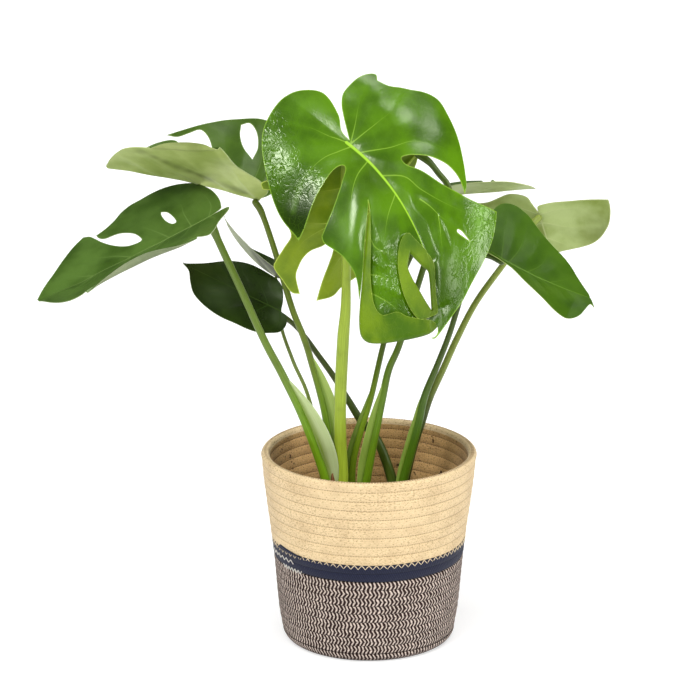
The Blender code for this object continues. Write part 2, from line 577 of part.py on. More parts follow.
def make_stalk(name, leaf):
    """A leaf's stalk: a tapering tube with a round top and, on some, a wing near its foot."""
    route = smooth(list(leaf["stalk"]) + [tuple(stalk_end(leaf))], 4.0)
    steps = np.concatenate([[0], np.cumsum(np.linalg.norm(np.diff(route, axis=0), axis=1))])
    total = steps[-1]
    heights, widths = zip(*leaf["thick"])
    knob = widths[-1] * KNOB
    places = [total * i / (STALK_RINGS - 1) for i in range(STALK_RINGS)]
    rings = []
    side = np.array([1.0, 0.0, 0.0])
    for place in places:
        centre = np.array([np.interp(place, steps, route[:, k]) for k in range(3)])
        ahead = np.array([np.interp(min(place + 2, total), steps, route[:, k])
                          - np.interp(max(place - 2, 0), steps, route[:, k]) for k in range(3)])
        ahead = ahead / np.linalg.norm(ahead)
        if place == 0:
            ahead = np.array([0.0, 0.0, 1.0])
        side = side - ahead * side.dot(ahead)
        side = side / np.linalg.norm(side)
        radius = float(np.interp(centre[2], heights, widths))
        if place > total - 12:
            radius = knob
        rings.append((centre, ahead, side, radius))
    centre, ahead, side, radius = rings[-1]
    for turn in (30, 60):
        a = math.radians(turn)
        rings.append((centre + ahead * radius * math.sin(a), ahead, side, radius * math.cos(a)))
    points, faces = [], []
    for centre, ahead, side, radius in rings:
        other = np.cross(ahead, side)
        for i in range(STALK_SIDES):
            a = 2 * math.pi * i / STALK_SIDES
            out = side * math.cos(a) + other * math.sin(a)
            points.append(centre + out * (radius + wing_at(leaf, centre[2], a)))
    last = (len(rings) - 1) * STALK_SIDES
    faces.append(tuple(range(STALK_SIDES)))
    faces.append(tuple(last + i for i in range(STALK_SIDES)))
    for row in range(len(rings) - 1):
        for i in range(STALK_SIDES):
            a, b = row * STALK_SIDES + i, row * STALK_SIDES + (i + 1) % STALK_SIDES
            faces.append((a, b, b + STALK_SIDES, a + STALK_SIDES))
    return add_solid("stalk_" + name, points, faces, "stalk_green")


def wing_at(leaf, height, angle):
    """How far the wing of the sheath stands out at a height, in the direction of angle."""
    if not leaf["wing"]:
        return 0.0
    top, width, facing = leaf["wing"]
    grow = min(max((top - height) / 45, 0), 1)
    fade = min(max((height - 165) / 60, 0), 1)
    return width * grow * fade * max(0.0, math.cos(angle - math.radians(facing))) ** 6


def make_dry_sheath():
    """The brown papery sheath of an old leaf, standing on the left crown."""
    centre = CROWNS["crown_left"][:2]
    radius, low, high, half = 14.0, 150.3, 186.0, math.radians(15)
    points, faces = [], []
    columns = 5
    for row, z in enumerate((low, 165.0, 178.0, high)):
        narrow = (1.0, 0.9, 0.6, 0.15)[row]
        for i in range(columns):
            a = math.radians(-90) + half * narrow * (2 * i / (columns - 1) - 1)
            points.append((centre[0] + radius * math.cos(a), centre[1] + radius * math.sin(a), z))
    for row in range(3):
        for i in range(columns - 1):
            a = row * columns + i
            faces.append((a, a + 1, a + 1 + columns, a + columns))
    shell, solid = thicken(np.array(points), faces, 0.9)
    return add_solid("dry_sheath", shell, solid, "dry_sheath")


def make_blade(name, leaf):
    """A leaf's blade as one thin closed solid."""
    corner, faces = fill_blade(leaf)
    spots = place_blade(leaf, corner[:, 0], corner[:, 1], corner[:, 2])
    shell, solid = thicken(spots, faces, BLADE)
    return add_solid("blade_" + name, shell, solid, BLADE_PAINT[name])


def main():
    for item in list(bpy.data.objects):
        bpy.data.objects.remove(item)
    make_basket()
    make_pot()
    make_soil()
    make_crowns()
    make_dry_sheath()
    for name, leaf in LEAVES.items():
        make_stalk(name, leaf)
        make_blade(name, leaf)


main()
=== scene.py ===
"""Looks of a young Swiss-cheese plant (Monstera deliciosa) in a coiled rope basket.

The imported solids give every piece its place; this script dresses them. Each leaf blade is
made again from the same flat outline as its solid, with veins, bulges between the veins,
and edges that are rolled or turned over; the stalks get their sheaths, and the basket its
sewn rope coils. Lengths are in millimetres until a mesh is made, and the basket's axis is
the Z axis.
"""

import math

import bpy
import numpy as np
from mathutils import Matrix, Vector, noise
from mathutils.geometry import delaunay_2d_cdt


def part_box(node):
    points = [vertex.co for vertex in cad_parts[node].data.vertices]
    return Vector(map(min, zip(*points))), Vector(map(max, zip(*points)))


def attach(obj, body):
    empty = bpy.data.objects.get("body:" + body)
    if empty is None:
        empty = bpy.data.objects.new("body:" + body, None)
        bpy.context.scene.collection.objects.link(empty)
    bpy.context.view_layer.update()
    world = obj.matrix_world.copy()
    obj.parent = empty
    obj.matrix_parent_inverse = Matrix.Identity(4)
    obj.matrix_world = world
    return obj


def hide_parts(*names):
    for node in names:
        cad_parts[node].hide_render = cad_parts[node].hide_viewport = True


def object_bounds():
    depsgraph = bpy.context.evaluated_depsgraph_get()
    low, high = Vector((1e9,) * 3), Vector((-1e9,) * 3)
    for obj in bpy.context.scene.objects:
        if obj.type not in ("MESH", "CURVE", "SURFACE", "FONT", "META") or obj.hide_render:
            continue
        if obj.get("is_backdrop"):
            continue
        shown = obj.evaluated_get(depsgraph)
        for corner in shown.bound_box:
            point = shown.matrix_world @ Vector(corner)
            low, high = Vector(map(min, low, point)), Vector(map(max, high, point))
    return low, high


MM = 0.001
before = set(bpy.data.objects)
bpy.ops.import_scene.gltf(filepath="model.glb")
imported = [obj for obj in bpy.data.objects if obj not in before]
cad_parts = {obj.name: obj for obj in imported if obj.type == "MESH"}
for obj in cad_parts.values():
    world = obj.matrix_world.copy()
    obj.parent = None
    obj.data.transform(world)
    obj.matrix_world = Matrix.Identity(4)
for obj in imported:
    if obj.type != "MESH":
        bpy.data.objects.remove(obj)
CAD_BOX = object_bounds()


def box_of(node):
    """A node's lowest and highest corner, in mm."""
    return [np.array(corner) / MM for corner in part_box(node)]


def top_of(node):
    """Height of a node's highest point, in mm."""
    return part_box(node)[1][2] / MM


# ---------------------------------------------------------------- node materials

class Surface:
    """A node material that is put together from short calls, most of which return a socket."""

    def __init__(self, name, colour=(0.0, 0.0, 0.0)):
        self.colour = colour
        self.material = bpy.data.materials.new(name)
        self.material.use_nodes = True
        self.tree = self.material.node_tree

    def node(self, kind, inputs=(), out=0, **settings):
        made = self.tree.nodes.new(kind)
        for key, value in settings.items():
            setattr(made, key, value)
        for key, value in dict(inputs).items():
            self.feed(made.inputs[key], value)
        return made.outputs[out]

    def feed(self, socket, value):
        if isinstance(value, bpy.types.NodeSocket):
            self.tree.links.new(value, socket)
        elif socket.type == "RGBA":
            socket.default_value = (*value, 1.0)
        else:
            socket.default_value = value

    def paint(self, share, colour):
        """Lay a colour over the surface's own; share says how thickly, from 0 to 1."""
        self.colour = self.mix(share, self.colour, colour)

    def finish(self, **values):
        """Feed the shader's own sockets; an underscore in a name stands for a space."""
        shader = self.tree.nodes["Principled BSDF"]
        for key, value in {"Base_Color": self.colour, **values}.items():
            self.feed(shader.inputs[key.replace("_", " ")], value)
        return self.material

    def math(self, operation, a, b=0.0):
        return self.node("ShaderNodeMath", {0: a, 1: b}, operation=operation)

    def add(self, a, b):
        return self.math("ADD", a, b)

    def minus(self, a, b):
        return self.math("SUBTRACT", a, b)

    def times(self, a, b):
        return self.math("MULTIPLY", a, b)

    def off_middle(self, value):
        """How far a value is from one half."""
        return self.math("ABSOLUTE", self.minus(value, 0.5))

    def zigzag(self, value):
        """A line that falls and rises once per unit of the value, between 0.5 and 0."""
        return self.off_middle(self.math("FRACT", value))

    def span(self, value, low, high, to_low=0.0, to_high=1.0):
        """value mapped from low..high to to_low..to_high, smoothly and without overshoot."""
        return self.node("ShaderNodeMapRange", {0: value, 1: low, 2: high, 3: to_low, 4: to_high},
                         interpolation_type="SMOOTHSTEP")

    def mix(self, share, a, b, blend="MIX"):
        return self.node("ShaderNodeMix", {0: share, 6: a, 7: b}, out=2, data_type="RGBA",
                         blend_type=blend)

    def attribute(self, name, out="Fac"):
        return self.node("ShaderNodeAttribute", out=out, attribute_name=name)

    def place(self):
        return self.node("ShaderNodeTexCoord", out="Object")

    def parts(self, vector):
        """The vector's x, y and z."""
        return self.node("ShaderNodeSeparateXYZ", {0: vector}).node.outputs

    def stretched(self, vector, scale):
        return self.node("ShaderNodeMapping", {"Vector": vector, "Scale": scale})

    def noise(self, vector, scale, detail=3.0, rough=0.5, distortion=0.0):
        return self.node("ShaderNodeTexNoise", {"Vector": vector, "Scale": scale, "Detail": detail,
                                                "Roughness": rough, "Distortion": distortion})

    def cells(self, vector, scale, feature="F1", out=0):
        return self.node("ShaderNodeTexVoronoi", {"Vector": vector, "Scale": scale}, out=out,
                         feature=feature)

    def bump(self, height, depth, strength=1.0):
        return self.node("ShaderNodeBump", {"Height": height, "Distance": depth,
                                            "Strength": strength})

    def ramp(self, value, *stops):
        made = self.node("ShaderNodeValToRGB", {0: value})
        line = made.node.color_ramp.elements
        while len(line) < len(stops):
            line.new(0.5)
        for spot, (at, colour) in zip(line, stops):
            spot.position = at
            spot.color = (*colour, 1.0)
        return made


def tint(colour, factor, lift=0.0):
    """A colour made lighter or darker."""
    return tuple(c * factor + lift for c in colour)


# ---------------------------------------------------------------- curves and meshes

def smooth(points, step):
    """Points about `step` apart on a Catmull-Rom curve through the given points."""
    p = np.array(points, float)
    p = np.vstack([2 * p[0] - p[1], p, 2 * p[-1] - p[-2]])
    out = []
    for i in range(1, len(p) - 2):
        count = max(1, round(float(np.linalg.norm(p[i + 1] - p[i])) / step))
        for j in range(count):
            u = j / count
            out.append(0.5 * (2 * p[i] + (p[i + 1] - p[i - 1]) * u
                              + (2 * p[i - 1] - 5 * p[i] + 4 * p[i + 1] - p[i + 2]) * u ** 2
                              + (3 * p[i] - p[i - 1] - 3 * p[i + 1] + p[i + 2]) * u ** 3))
    return np.array(out + [p[-2]])


def angles(sides):
    """Equally spaced angles of one turn, in radians."""
    return [2 * math.pi * i / sides for i in range(sides)]


def direction(turn):
    """A level unit vector at a turn in radians."""
    return np.array([math.cos(turn), math.sin(turn), 0.0])


def tube_faces(rows, sides, first=0):
    """The skin of a tube: its two flat ends, and quads between its rings of points."""
    last = first + (rows - 1) * sides
    faces = [tuple(first + i for i in reversed(range(sides))), tuple(last + i for i in range(sides))]
    for start in range(first, last, sides):
        for i in range(sides):
            a, b = start + i, start + (i + 1) % sides
            faces.append((a, b, b + sides, a + sides))
    return faces


def sheet_faces(rows, columns):
    """Quads between the rows of a sheet of points."""
    return [(k, k + 1, k + 1 + columns, k + columns)
            for k in range((rows - 1) * columns) if (k + 1) % columns]


def flipped(faces):
    """The same faces, seen from their other side."""
    return [face[:1] + face[:0:-1] for face in faces]


def add_mesh(name, points_mm, faces, materials, slots=None, sharp=60):
    """A shaded mesh object from points in millimetres."""
    mesh = bpy.data.meshes.new(name)
    mesh.from_pydata((np.asarray(points_mm) * MM).tolist(), [], faces)
    for material in materials:
        mesh.materials.append(material)
    if slots is not None:
        mesh.polygons.foreach_set("material_index", slots)
    mesh.shade_smooth()
    mesh.set_sharp_from_angle(angle=math.radians(sharp))
    mesh.update()
    item = bpy.data.objects.new(name, mesh)
    bpy.context.scene.collection.objects.link(item)
    return item


def thicken(item, thickness, offset=0.0):
    """Give a sheet its thickness in mm."""
    solid = item.modifiers.new("thickness", "SOLIDIFY")
    solid.thickness = thickness * MM
    solid.offset = offset
    return item


def add_values(item, name, values):
    """A named number on each vertex, for the materials."""
    layer = item.data.attributes.new(name, "FLOAT", "POINT")
    layer.data.foreach_set("value", np.asarray(values, np.float32))


def add_spots(item, spots):
    """The flat place (s, t) of each vertex, in millimetres, for the materials."""
    flat = np.zeros((len(spots), 3), np.float32)
    flat[:, :2] = spots
    layer = item.data.attributes.new("spot", "FLOAT_VECTOR", "POINT")
    layer.data.foreach_set("vector", flat.ravel())


def fit(item, *nodes, slot):
    """The piece stands for these solids and rides on the root; slot is not used."""
    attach(item, "root")
    if nodes:
        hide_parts(*nodes)


# ---------------------------------------------------------------- leaves
# A blade lies flat first: s runs along its midrib from the joint, t to the leaf's left.
# Its pose is the joint in mm, then heading, pitch and roll of the midrib in degrees. fold
# lifts the left and right halves at the midrib, curl bends them down per 100 mm, droop and
# nape bend the midrib down per 100 mm beyond and behind the joint, and sweep moves the blade
# to the left as it goes out. tip_fold is the fold that is reached at the given distance.
# An outline or a hole is a ring of strokes: each is a smooth curve that starts where the one
# before it ends, and meets it in a corner.
# rolled: the strokes whose edge curls upwards, with the curl's width, radius and angle, and
# how fast it narrows to both ends.
# folds: edges that lie turned over on the upper face, each with its radius, its stroke, and
# the curve where it ends. rims: the same all round a hole, given by the hole's number.
# veins: the lateral veins, from the midrib outwards. puff: how far the blade bulges between
# them. rib: the midrib's width at the joint, and its length.
# wrinkles, and the patches of colour: (s, t, reach, amount) of places with a creased skin, and of
# places that are deeper (below zero) or lighter in colour; the patches are partly the leaf's own
# colour, partly painted shade (below zero) and painted sheen (above zero).
# thick: the stalk's (height, radius), and stalk: its route up to the joint.
# sheath: the heights where the stalk's wing starts and ends, its width, the direction that
# it faces in degrees, and its skin.
LEAVES = {
    "front": {
        "joint": (-23, -10, 542), "heading": -30, "pitch": -28, "roll": 42, "fold": (6, 6),
        "curl": (30, 30), "droop": 12, "nape": -5, "sweep": -20,
        "outline": [
            [(-13, 7), (-28, 19), (-56, 27), (-78, 10), (-83, -16), (-72, -50), (-40, -81), (-5, -104),
             (28, -111)],
            [(25, -97), (15, -68), (10, -38), (12, -25), (18, -23), (25, -36), (36, -62), (46, -91)],
            [(53, -93), (66, -89), (80, -85), (97, -84), (109, -87), (121, -93)],
            [(113, -84.5), (101, -73), (86, -59), (71, -42.5), (62, -32), (57, -28)],
            [(65, -32.5), (73, -43), (88, -59), (103, -73.8), (115, -84.8), (125, -93.5), (136, -101),
             (146, -104), (155, -100), (163, -90.5), (172, -75.5), (179, -62), (185, -50), (193, -32),
             (197, -20), (198, -9)],
            [(202, -10), (203, -15), (200.5, -21)],
            [(204, -16), (204.5, -9), (203, 4), (201, 18), (199.5, 30), (194.5, 47), (189.5, 68),
             (185.5, 82), (179.5, 95), (172, 104), (165, 110)],
            [(159.5, 103.5), (146, 88), (127, 69), (103, 51), (78, 38), (62, 28), (54, 28.5), (57, 36),
             (63, 43.5), (73, 54.5), (84, 63), (94, 69), (105, 72.5), (115, 73.5), (127.5, 72)],
            [(122, 79), (112, 85), (102, 90), (87, 96.5), (69, 103), (54, 107), (39.5, 110), (28, 108.5),
             (17.5, 103), (7.5, 95), (-2, 89), (-12, 81.5), (-24, 78)],
            [(-30, 83), (-36, 78), (-40, 68), (-41, 56), (-39.5, 41), (-32.5, 30), (-23, 21.5), (-12, 13),
             (0, 4)]],
        "holes": [
            [[(134.5, -15.5), (145.5, -10), (152.5, -5.5), (157.5, -6), (167, -9), (176, -12),
              (183, -14)],
             [(170.5, -19.5), (156.5, -24), (145.5, -27), (135.5, -27.5), (131, -24), (127, -18.5)]],
            [[(150.5, 50.8), (160, 55.7), (164, 57.5)],
             [(155, 50), (148, 45), (146, 46.5)]]],
        "folds": [(3.5, 4, [(192, -14), (187, -20.5), (180, -31), (173.5, -39.5), (167, -47.5),
                            (160, -53.5), (156, -58.5), (153, -65.5), (148.5, -73.5), (141.5, -77.5),
                            (133.5, -78), (126, -76), (117, -72), (107, -66), (92, -54), (83, -47),
                            (72, -38)])],
        "rims": [(2.8, 0, [(113, -11), (123.5, -7), (133.5, -2.5), (145, 2.8), (153, 4), (160, 1.5),
                           (170.5, -4), (181, -6.5), (188, -8), (185.5, -18), (182.5, -26), (178.5, -33),
                           (173.5, -37), (163.5, -41), (150.5, -43), (139.5, -42), (128, -38.5),
                           (120.5, -33.5), (114.5, -27.5), (111, -20.5), (110.5, -15.5), (113, -11)])],
        "veins": [[(2, 1), (-11, -3), (-19, -6), (-41, -12), (-62, -24)],
                  [(6, -1), (0, -13), (-7, -28), (-9, -45), (-6, -68), (4, -92)],
                  [(30, -1), (32, -19), (40, -36), (55, -54), (78, -78)],
                  [(75, -1), (82.5, -17.5), (90, -28.5), (101, -40), (112, -52)],
                  [(88, -50.5), (96, -50.5), (105.5, -45.5), (112, -39.5), (120, -32)],
                  [(111, -69.5), (120, -60), (132, -51), (140.5, -43.5)],
                  [(126, -76), (133.5, -70), (149, -59), (161.5, -51.5), (176, -36)],
                  [(4, 1), (10, 41), (11, 57), (4, 82)], [(4, 1), (-6, 20), (-20, 44), (-28, 66)],
                  [(18, 1), (37, 26), (52, 53), (77, 71), (104, 80)],
                  [(52, 1), (70, 19), (92, 27), (122, 47), (150, 74), (166, 98)],
                  [(97, 20), (109.5, 26.5), (123, 32), (134, 38.5), (145, 45.5)],
                  [(122, 31), (132, 27), (141, 23), (149.5, 18), (158, 15)]],
        "puff": 1.6, "rib": (3.4, 150), "skin": "bright",
        "wrinkles": [(-43, -73, 40, 0.3), (-64, -30, 34, 0.13), (-2, -58, 22, 0.22), (130, -60, 50, 0.12),
                     (160, 86, 32, 0.32), (185, 40, 30, 0.16)],
        "tones_shade_sheen": [(14, -92, 36, -1.0), (38, -24, 30, -0.4), (52, 4, 24, -0.25), (154, 84, 22, 0.6),
                  (-66, -4, 20, 0.15), (-8, 42, 20, 0.12), (48, 60, 15, -0.3), (70, 82, 14, -0.3),
                  (28, 40, 12, -0.2), (178, 4, 40, -0.6)],
        "thick": ((150, 6.5), (336, 6.3), (385, 4.8), (500, 4.3)),
        "stalk": [(-31, -5, 150.3), (-28, -6, 176), (-30, -6, 219), (-30, -6, 264), (-27, -6, 329),
                  (-24, -6, 372), (-24, -6, 448), (-25, -5, 512)]},
    "left": {
        "joint": (-162, -10, 465), "heading": -175, "pitch": -28, "roll": 0, "fold": (3, 16),
        "curl": (5, 5), "droop": -2, "nape": 5, "sweep": 0,
        "outline": [
            [(-10, -2), (-12, -8), (-12.5, -23), (-9, -44), (-3, -60), (4, -73), (15, -85), (28, -95),
             (42, -101), (56, -102.5), (68, -101), (80, -100), (91, -94), (100, -84), (110, -77),
             (120, -73), (124, -72)],
            [(122, -64), (116, -57), (104, -55), (95, -50), (85, -39), (80, -28), (79, -20), (83, -18),
             (93, -21), (103, -29), (113, -41), (120.5, -53.5), (126, -66), (131, -76), (138, -81)],
            [(152, -70.5), (166.5, -51.5), (181, -33), (195, -15.5), (203, -4)],
            [(198, 12), (190, 30), (178, 52), (165, 62), (154, 62), (148, 57)],
            [(133, 46), (112, 42), (95, 42), (77, 43), (63, 47), (42, 56), (29, 58), (20, 59)],
            [(13, 68), (6, 73), (-1, 62), (-9, 38), (-19, 17), (-17, 6), (2, 0)]],
        "rolled": {4: (11, 4.5, 95, 1)},
        "holes": [
            [[(43.5, -46), (39, -31), (38.5, -22), (43, -22), (48, -32), (50.5, -45), (50, -53)]]],
        "veins": [[(4, -1), (-2, -20), (2, -48), (14, -70)], [(25, -1), (28, -30), (28, -51), (38, -84)],
                  [(51, -1), (63, -26), (77, -49), (94, -76)],
                  [(96, -1), (110, -16), (131, -30), (146, -52)], [(140, -1), (156, -14), (170, -28)],
                  [(4, 1), (-2, 20), (4, 50)], [(25, 1), (36, 26), (44, 44)],
                  [(56, 1), (76, 22), (96, 42)], [(96, 1), (118, 20), (146, 52)],
                  [(140, 1), (160, 20), (174, 44)]],
        "puff": 1.6, "rib": (2.4, 205), "skin": "cool",
        "thick": ((150, 5.6), (240, 4.5), (330, 4.0), (460, 3.8)),
        "stalk": [(-46, -5, 150.3), (-46, -9, 178), (-68, -10, 242), (-90, -11, 291), (-109, -11, 329),
                  (-134, -11, 387), (-151, -10, 425), (-160, -9, 446)],
        "sheath": (172, 288, 18, -8, "pale")},
    "back_left": {
        "joint": (-113, 50, 465), "heading": 172, "pitch": 15, "roll": 0, "fold": (41, 36),
        "curl": (5, 5), "droop": 4, "nape": 5, "sweep": 6,
        "outline": [
            [(-8, -12), (-20, -40), (-14, -79), (8, -100.5), (30, -105.5), (56, -95.5), (78, -82),
             (100, -66), (115, -54.5)],
            [(104, -54.5), (94, -62), (84, -70), (74, -63), (66, -48), (64, -32), (68, -22), (80, -30),
             (97, -44)],
            [(106, -49), (117, -45), (130, -34), (146, -13), (155, -5)],
            [(164, -3), (165, 4)],
            [(160, 20), (152, 38), (144, 51), (133, 59), (118, 65)],
            [(100, 72), (82, 78), (64, 88), (46, 104)],
            [(37, 88), (28, 66), (16, 53), (3, 42), (-6, 22), (2, -1)]],
        "rolled": {5: (12, 3.6, 120, 1)},
        "holes": [
            [[(38, -96), (28, -85), (22, -66), (23, -48)],
             [(35, -59), (43, -75), (46, -91)]]],
        "veins": [[(2, -2), (-4, -30), (2, -70)], [(16, -1), (14, -50), (26, -98)],
                  [(34, -1), (48, -34), (60, -70), (82, -78)], [(70, -1), (86, -20), (108, -42)],
                  [(110, -1), (124, -14), (136, -24)], [(6, 1), (20, 26), (40, 70), (52, 100)],
                  [(34, 1), (58, 24), (86, 60), (98, 78)], [(70, 1), (96, 20), (126, 50)],
                  [(110, 1), (132, 18), (150, 34)]],
        "puff": 2.2, "rib": (2.6, 165), "skin": "mid",
        "tones_shade_sheen": [(112, 76, 14, -0.6), (92, 84, 14, -0.6), (72, 92, 14, -0.6), (52, 106, 14, -0.5),
                  *((s, 6 + 0.0028 * s * s, 7, -0.5) for s in range(18, 130, 12))],
        "thick": ((150, 4.4), (260, 3.7), (450, 3.0)),
        "stalk": [(-34, 7, 150.3), (-37, 7, 174), (-46, 14, 240), (-61, 24, 297), (-69, 28, 322),
                  (-81, 34, 352), (-99, 44, 412), (-112, 50, 450)],
        "sheath": (190, 301, 13, -8, "fresh")},
    "low_left": {
        "joint": (-91, 44, 344), "heading": 184, "pitch": 28, "roll": -35, "fold": (-3, -3),
        "curl": (12, 12), "droop": 0, "nape": 5, "sweep": 0,
        "outline": [
            [(3, -14), (6, -30), (14, -40), (26, -43), (37, -44), (50, -43), (65.5, -37), (78, -29),
             (96, -14), (112, -4), (119, -1)],
            [(110, 5), (105, 17), (98, 29), (87, 36), (74, 40), (60, 41.5), (46, 41), (31, 40.5),
             (18, 38), (7, 33), (-4, 25), (-8, 13), (-5, 3), (2, 0)]],
        "veins": [[(3, -1), (0, -16), (10, -32)], [(18, -1), (30, -20), (48, -38)],
                  [(42, -1), (58, -16), (80, -28)], [(70, -1), (86, -10), (100, -13)],
                  [(3, 1), (0, 14), (8, 28)], [(18, 1), (30, 16), (46, 30)],
                  [(42, 1), (58, 13), (76, 24)], [(70, 1), (86, 9), (98, 13)]],
        "puff": 1.2, "rib": (1.8, 118), "skin": "dark",
        "tones_shade_sheen": [(74, 14, 24, 0.5), (9, -26, 14, 0.6), (2, 8, 12, 0.6), (90, -12, 20, -0.2)],
        "thick": ((150, 5.8), (215, 4.6), (260, 3.4), (340, 2.5)),
        "stalk": [(26, 20, 150.3), (24, 22, 168), (10, 28, 205), (-9, 35, 228), (-22, 38, 249),
                  (-37, 40, 274), (-54, 42, 298), (-68, 43, 318), (-80, 45, 331)]},
    "spear": {
        "joint": (-93.5, 96, 366), "heading": 166, "pitch": 24, "roll": 10, "fold": (28, 28),
        "curl": (5, 5), "droop": -45, "nape": 5, "sweep": 0,
        "outline": [
            [(-7, -8), (2, -18), (16, -22), (32, -17), (50, -8), (72, -3), (92, 0)],
            [(74, 11), (50, 22), (24, 26), (0, 20), (-7, 8), (2, 0)]],
        "veins": [[(8, -1), (18, -12), (34, -22)], [(30, -1), (42, -10), (58, -16)],
                  [(8, 1), (18, 12), (34, 22)], [(30, 1), (42, 10), (58, 16)]],
        "puff": 0.8, "rib": (1.4, 90), "skin": "dark",
        "tones_shade_sheen": [(22, 24, 24, -1.0), (4, 8, 20, -1.0)],
        "thick": ((150, 2.2), (340, 1.8)),
        "stalk": [(-44, 8, 150.3), (-45, 12, 174), (-63, 38, 249), (-80, 58, 285), (-93, 78, 318),
                  (-95, 92, 346)]},
    "right": {
        "joint": (135, 0, 417), "heading": -12, "pitch": -28, "roll": 25, "fold": (10, 38),
        "curl": (10, 10), "droop": 8, "nape": 5, "sweep": 22, "tip_fold": (5, 15, 90),
        "outline": [
            [(-14, 1), (-28, 4), (-33, 20), (-32, 36), (-30.5, 48), (-28.5, 58), (-24.5, 65), (-18, 69.5),
             (-10, 71), (-1, 69.5), (7, 67), (18.5, 60.5), (31, 53), (43.5, 46.5), (57, 40), (70, 31),
             (82, 20), (93, 10.5), (101, 4)],
            [(106, -3), (109, -11), (112, -20)],
            [(107.5, -14), (105.6, -18), (104, -30), (102, -42), (97.5, -51), (92, -55.5), (83.5, -56),
             (74, -53.5), (60, -47), (47, -42), (33, -35), (19, -24), (6, -22), (-10, -27), (-22, -20),
             (-26, -6), (-13, -1), (2, 0)]],
        "veins": [[(3, 1), (-6, 26), (-14, 54)], [(12, 1), (14, 26), (6, 62)],
                  [(34, 1), (42, 18), (42, 42)], [(60, 1), (72, 12), (80, 22)],
                  [(3, -1), (-2, -14), (0, -24)], [(20, -1), (36, -16), (54, -34)],
                  [(50, -1), (66, -18), (86, -40)], [(78, -1), (90, -12), (100, -26)]],
        "puff": 1.4, "rib": (2.0, 112), "skin": "deep",
        "thick": ((150, 5.6), (250, 4.2), (300, 3.2), (412, 2.9)),
        "stalk": [(34, 6, 150.3), (37, 5, 173), (46, 5, 208), (53, 5, 237), (59, 5, 264), (72, 5, 298),
                  (84, 7, 330), (94, 10, 363), (103, 14, 394), (114, 16, 412), (126, 11, 415)],
        "sheath": (158, 266, 5, 188, "green")},
    "far_right": {
        "joint": (180, 88, 442), "heading": 46, "pitch": -66, "roll": -27, "fold": (5, 5),
        "curl": (15, 15), "droop": 8, "nape": 5, "sweep": 0,
        "outline": [
            [(-6, 0), (-8, -9), (-8.6, -21), (-8, -37), (-7.7, -54), (-6.3, -79)],
            [(1, -79), (11, -77), (24, -72), (34, -65), (42, -57), (48, -47), (51, -35), (52.5, -21),
             (54, -8), (60, 8), (68, 20)],
            [(60, 36), (44, 54), (24, 66), (4, 74), (-14, 76), (-20, 71), (-17, 62), (-17, 52),
             (-20.5, 41), (-24, 31), (-24.5, 23), (-22, 14), (-18, 8), (-10, 5), (2, 0)]],
        "veins": [[(3, -1), (0, -30), (4, -66)], [(14, -1), (24, -28), (26, -60)],
                  [(34, -1), (46, -20), (52, -38)], [(56, -1), (66, -12), (72, -18)],
                  [(3, 1), (-8, 24), (-8, 52)], [(14, 1), (22, 28), (22, 56)],
                  [(34, 1), (46, 20), (52, 38)], [(56, 1), (66, 12), (72, 18)]],
        "puff": 1.4, "rib": (2.0, 88), "skin": "pale",
        "tones_shade_sheen": [(-8, 20, 20, 0.25), (38, -62, 34, -0.45)],
        "thick": ((150, 4.8), (260, 3.6), (425, 3.2)),
        "stalk": [(38, 17, 150.3), (40, 18, 170), (48, 21, 203), (57, 23, 231), (65, 27, 255),
                  (79, 34, 285), (93, 42, 315), (114, 54, 353), (144, 68, 392), (169, 80, 425)]},
    "behind": {
        "joint": (53, 40, 522), "heading": -164, "pitch": -49, "roll": 85, "fold": (5, 5),
        "curl": (12, 12), "droop": 0, "nape": 0, "sweep": 0,
        "outline": [
            [(14, -8), (30, -14), (50, -30), (76, -44), (108, -46), (140, -40), (163, -33), (177, -31),
             (191, -20)],
            [(168, -9), (142, 2), (129, 9), (131, 14), (141, 15), (153, 22), (164, 24), (174, 22),
             (184, 17), (196, 1)],
            [(200, 10), (196, 26), (191, 43), (182, 47), (168, 49), (154, 51), (146, 64), (135, 76)],
            [(126, 80), (124, 92), (134, 113)],
            [(129, 119), (118, 110), (100, 92), (76, 78), (46, 70), (18, 60), (-2, 44), (-10, 24),
             (-6, 8), (2, 0)]],
        "veins": [[(6, 1), (24, 24), (40, 54)], [(40, 1), (68, 28), (100, 60), (126, 104)],
                  [(80, 1), (110, 20), (150, 36), (186, 30)], [(110, 20), (124, 34), (140, 56)],
                  [(20, -1), (50, -16), (84, -36)], [(70, -1), (100, -16), (150, -26), (180, -24)],
                  [(110, -17), (136, -8), (170, -14)]],
        "puff": 2.6, "rib": (2.6, 128), "skin": "young",
        "thick": ((150, 5.6), (250, 4.2), (330, 3.3), (520, 3.3)),
        "stalk": [(-6, 4, 150.3), (-3, 1, 172), (3, 2, 205), (14, 6, 259), (21, 10, 291), (33, 14, 320),
                  (54, 24, 388), (72, 32, 446), (83, 35, 471), (82, 36, 485), (73, 36, 497),
                  (63, 34, 510)],
        "sheath": (156, 279, 9, 205, "green")},
    "back_right": {
        "joint": (82, 80, 462), "heading": 5, "pitch": 4.5, "roll": 0, "fold": (10, 30), "curl": (5, 5),
        "droop": 3, "nape": 5, "sweep": 0,
        "outline": [
            [(-9, 8), (-11, 20), (4, 27), (24, 29), (41, 27)],
            [(45, 13), (52, 28)],
            [(60, 15), (70, 9), (86, 8), (95, 0)],
            [(86, -12), (64, -32), (34, -40), (6, -37), (-10, -26), (-9, -8), (2, 0)]],
        "veins": [[(4, 1), (4, 14), (12, 28)], [(28, 1), (40, 12), (60, 22)],
                  [(56, 1), (70, 8), (82, 10)], [(4, -1), (6, -14), (14, -28)],
                  [(28, -1), (42, -14), (58, -24)], [(56, -1), (70, -10), (82, -14)]],
        "puff": 1.0, "rib": (1.6, 96), "skin": "pale",
        "tones_shade_sheen": [(40, -5, 60, -0.3)],
        "thick": ((150, 4.4), (240, 3.2), (442, 2.5)),
        "stalk": [(-15, 14, 150.3), (-18, 14, 168), (-16, 16, 192), (-7, 20, 225), (3, 28, 257),
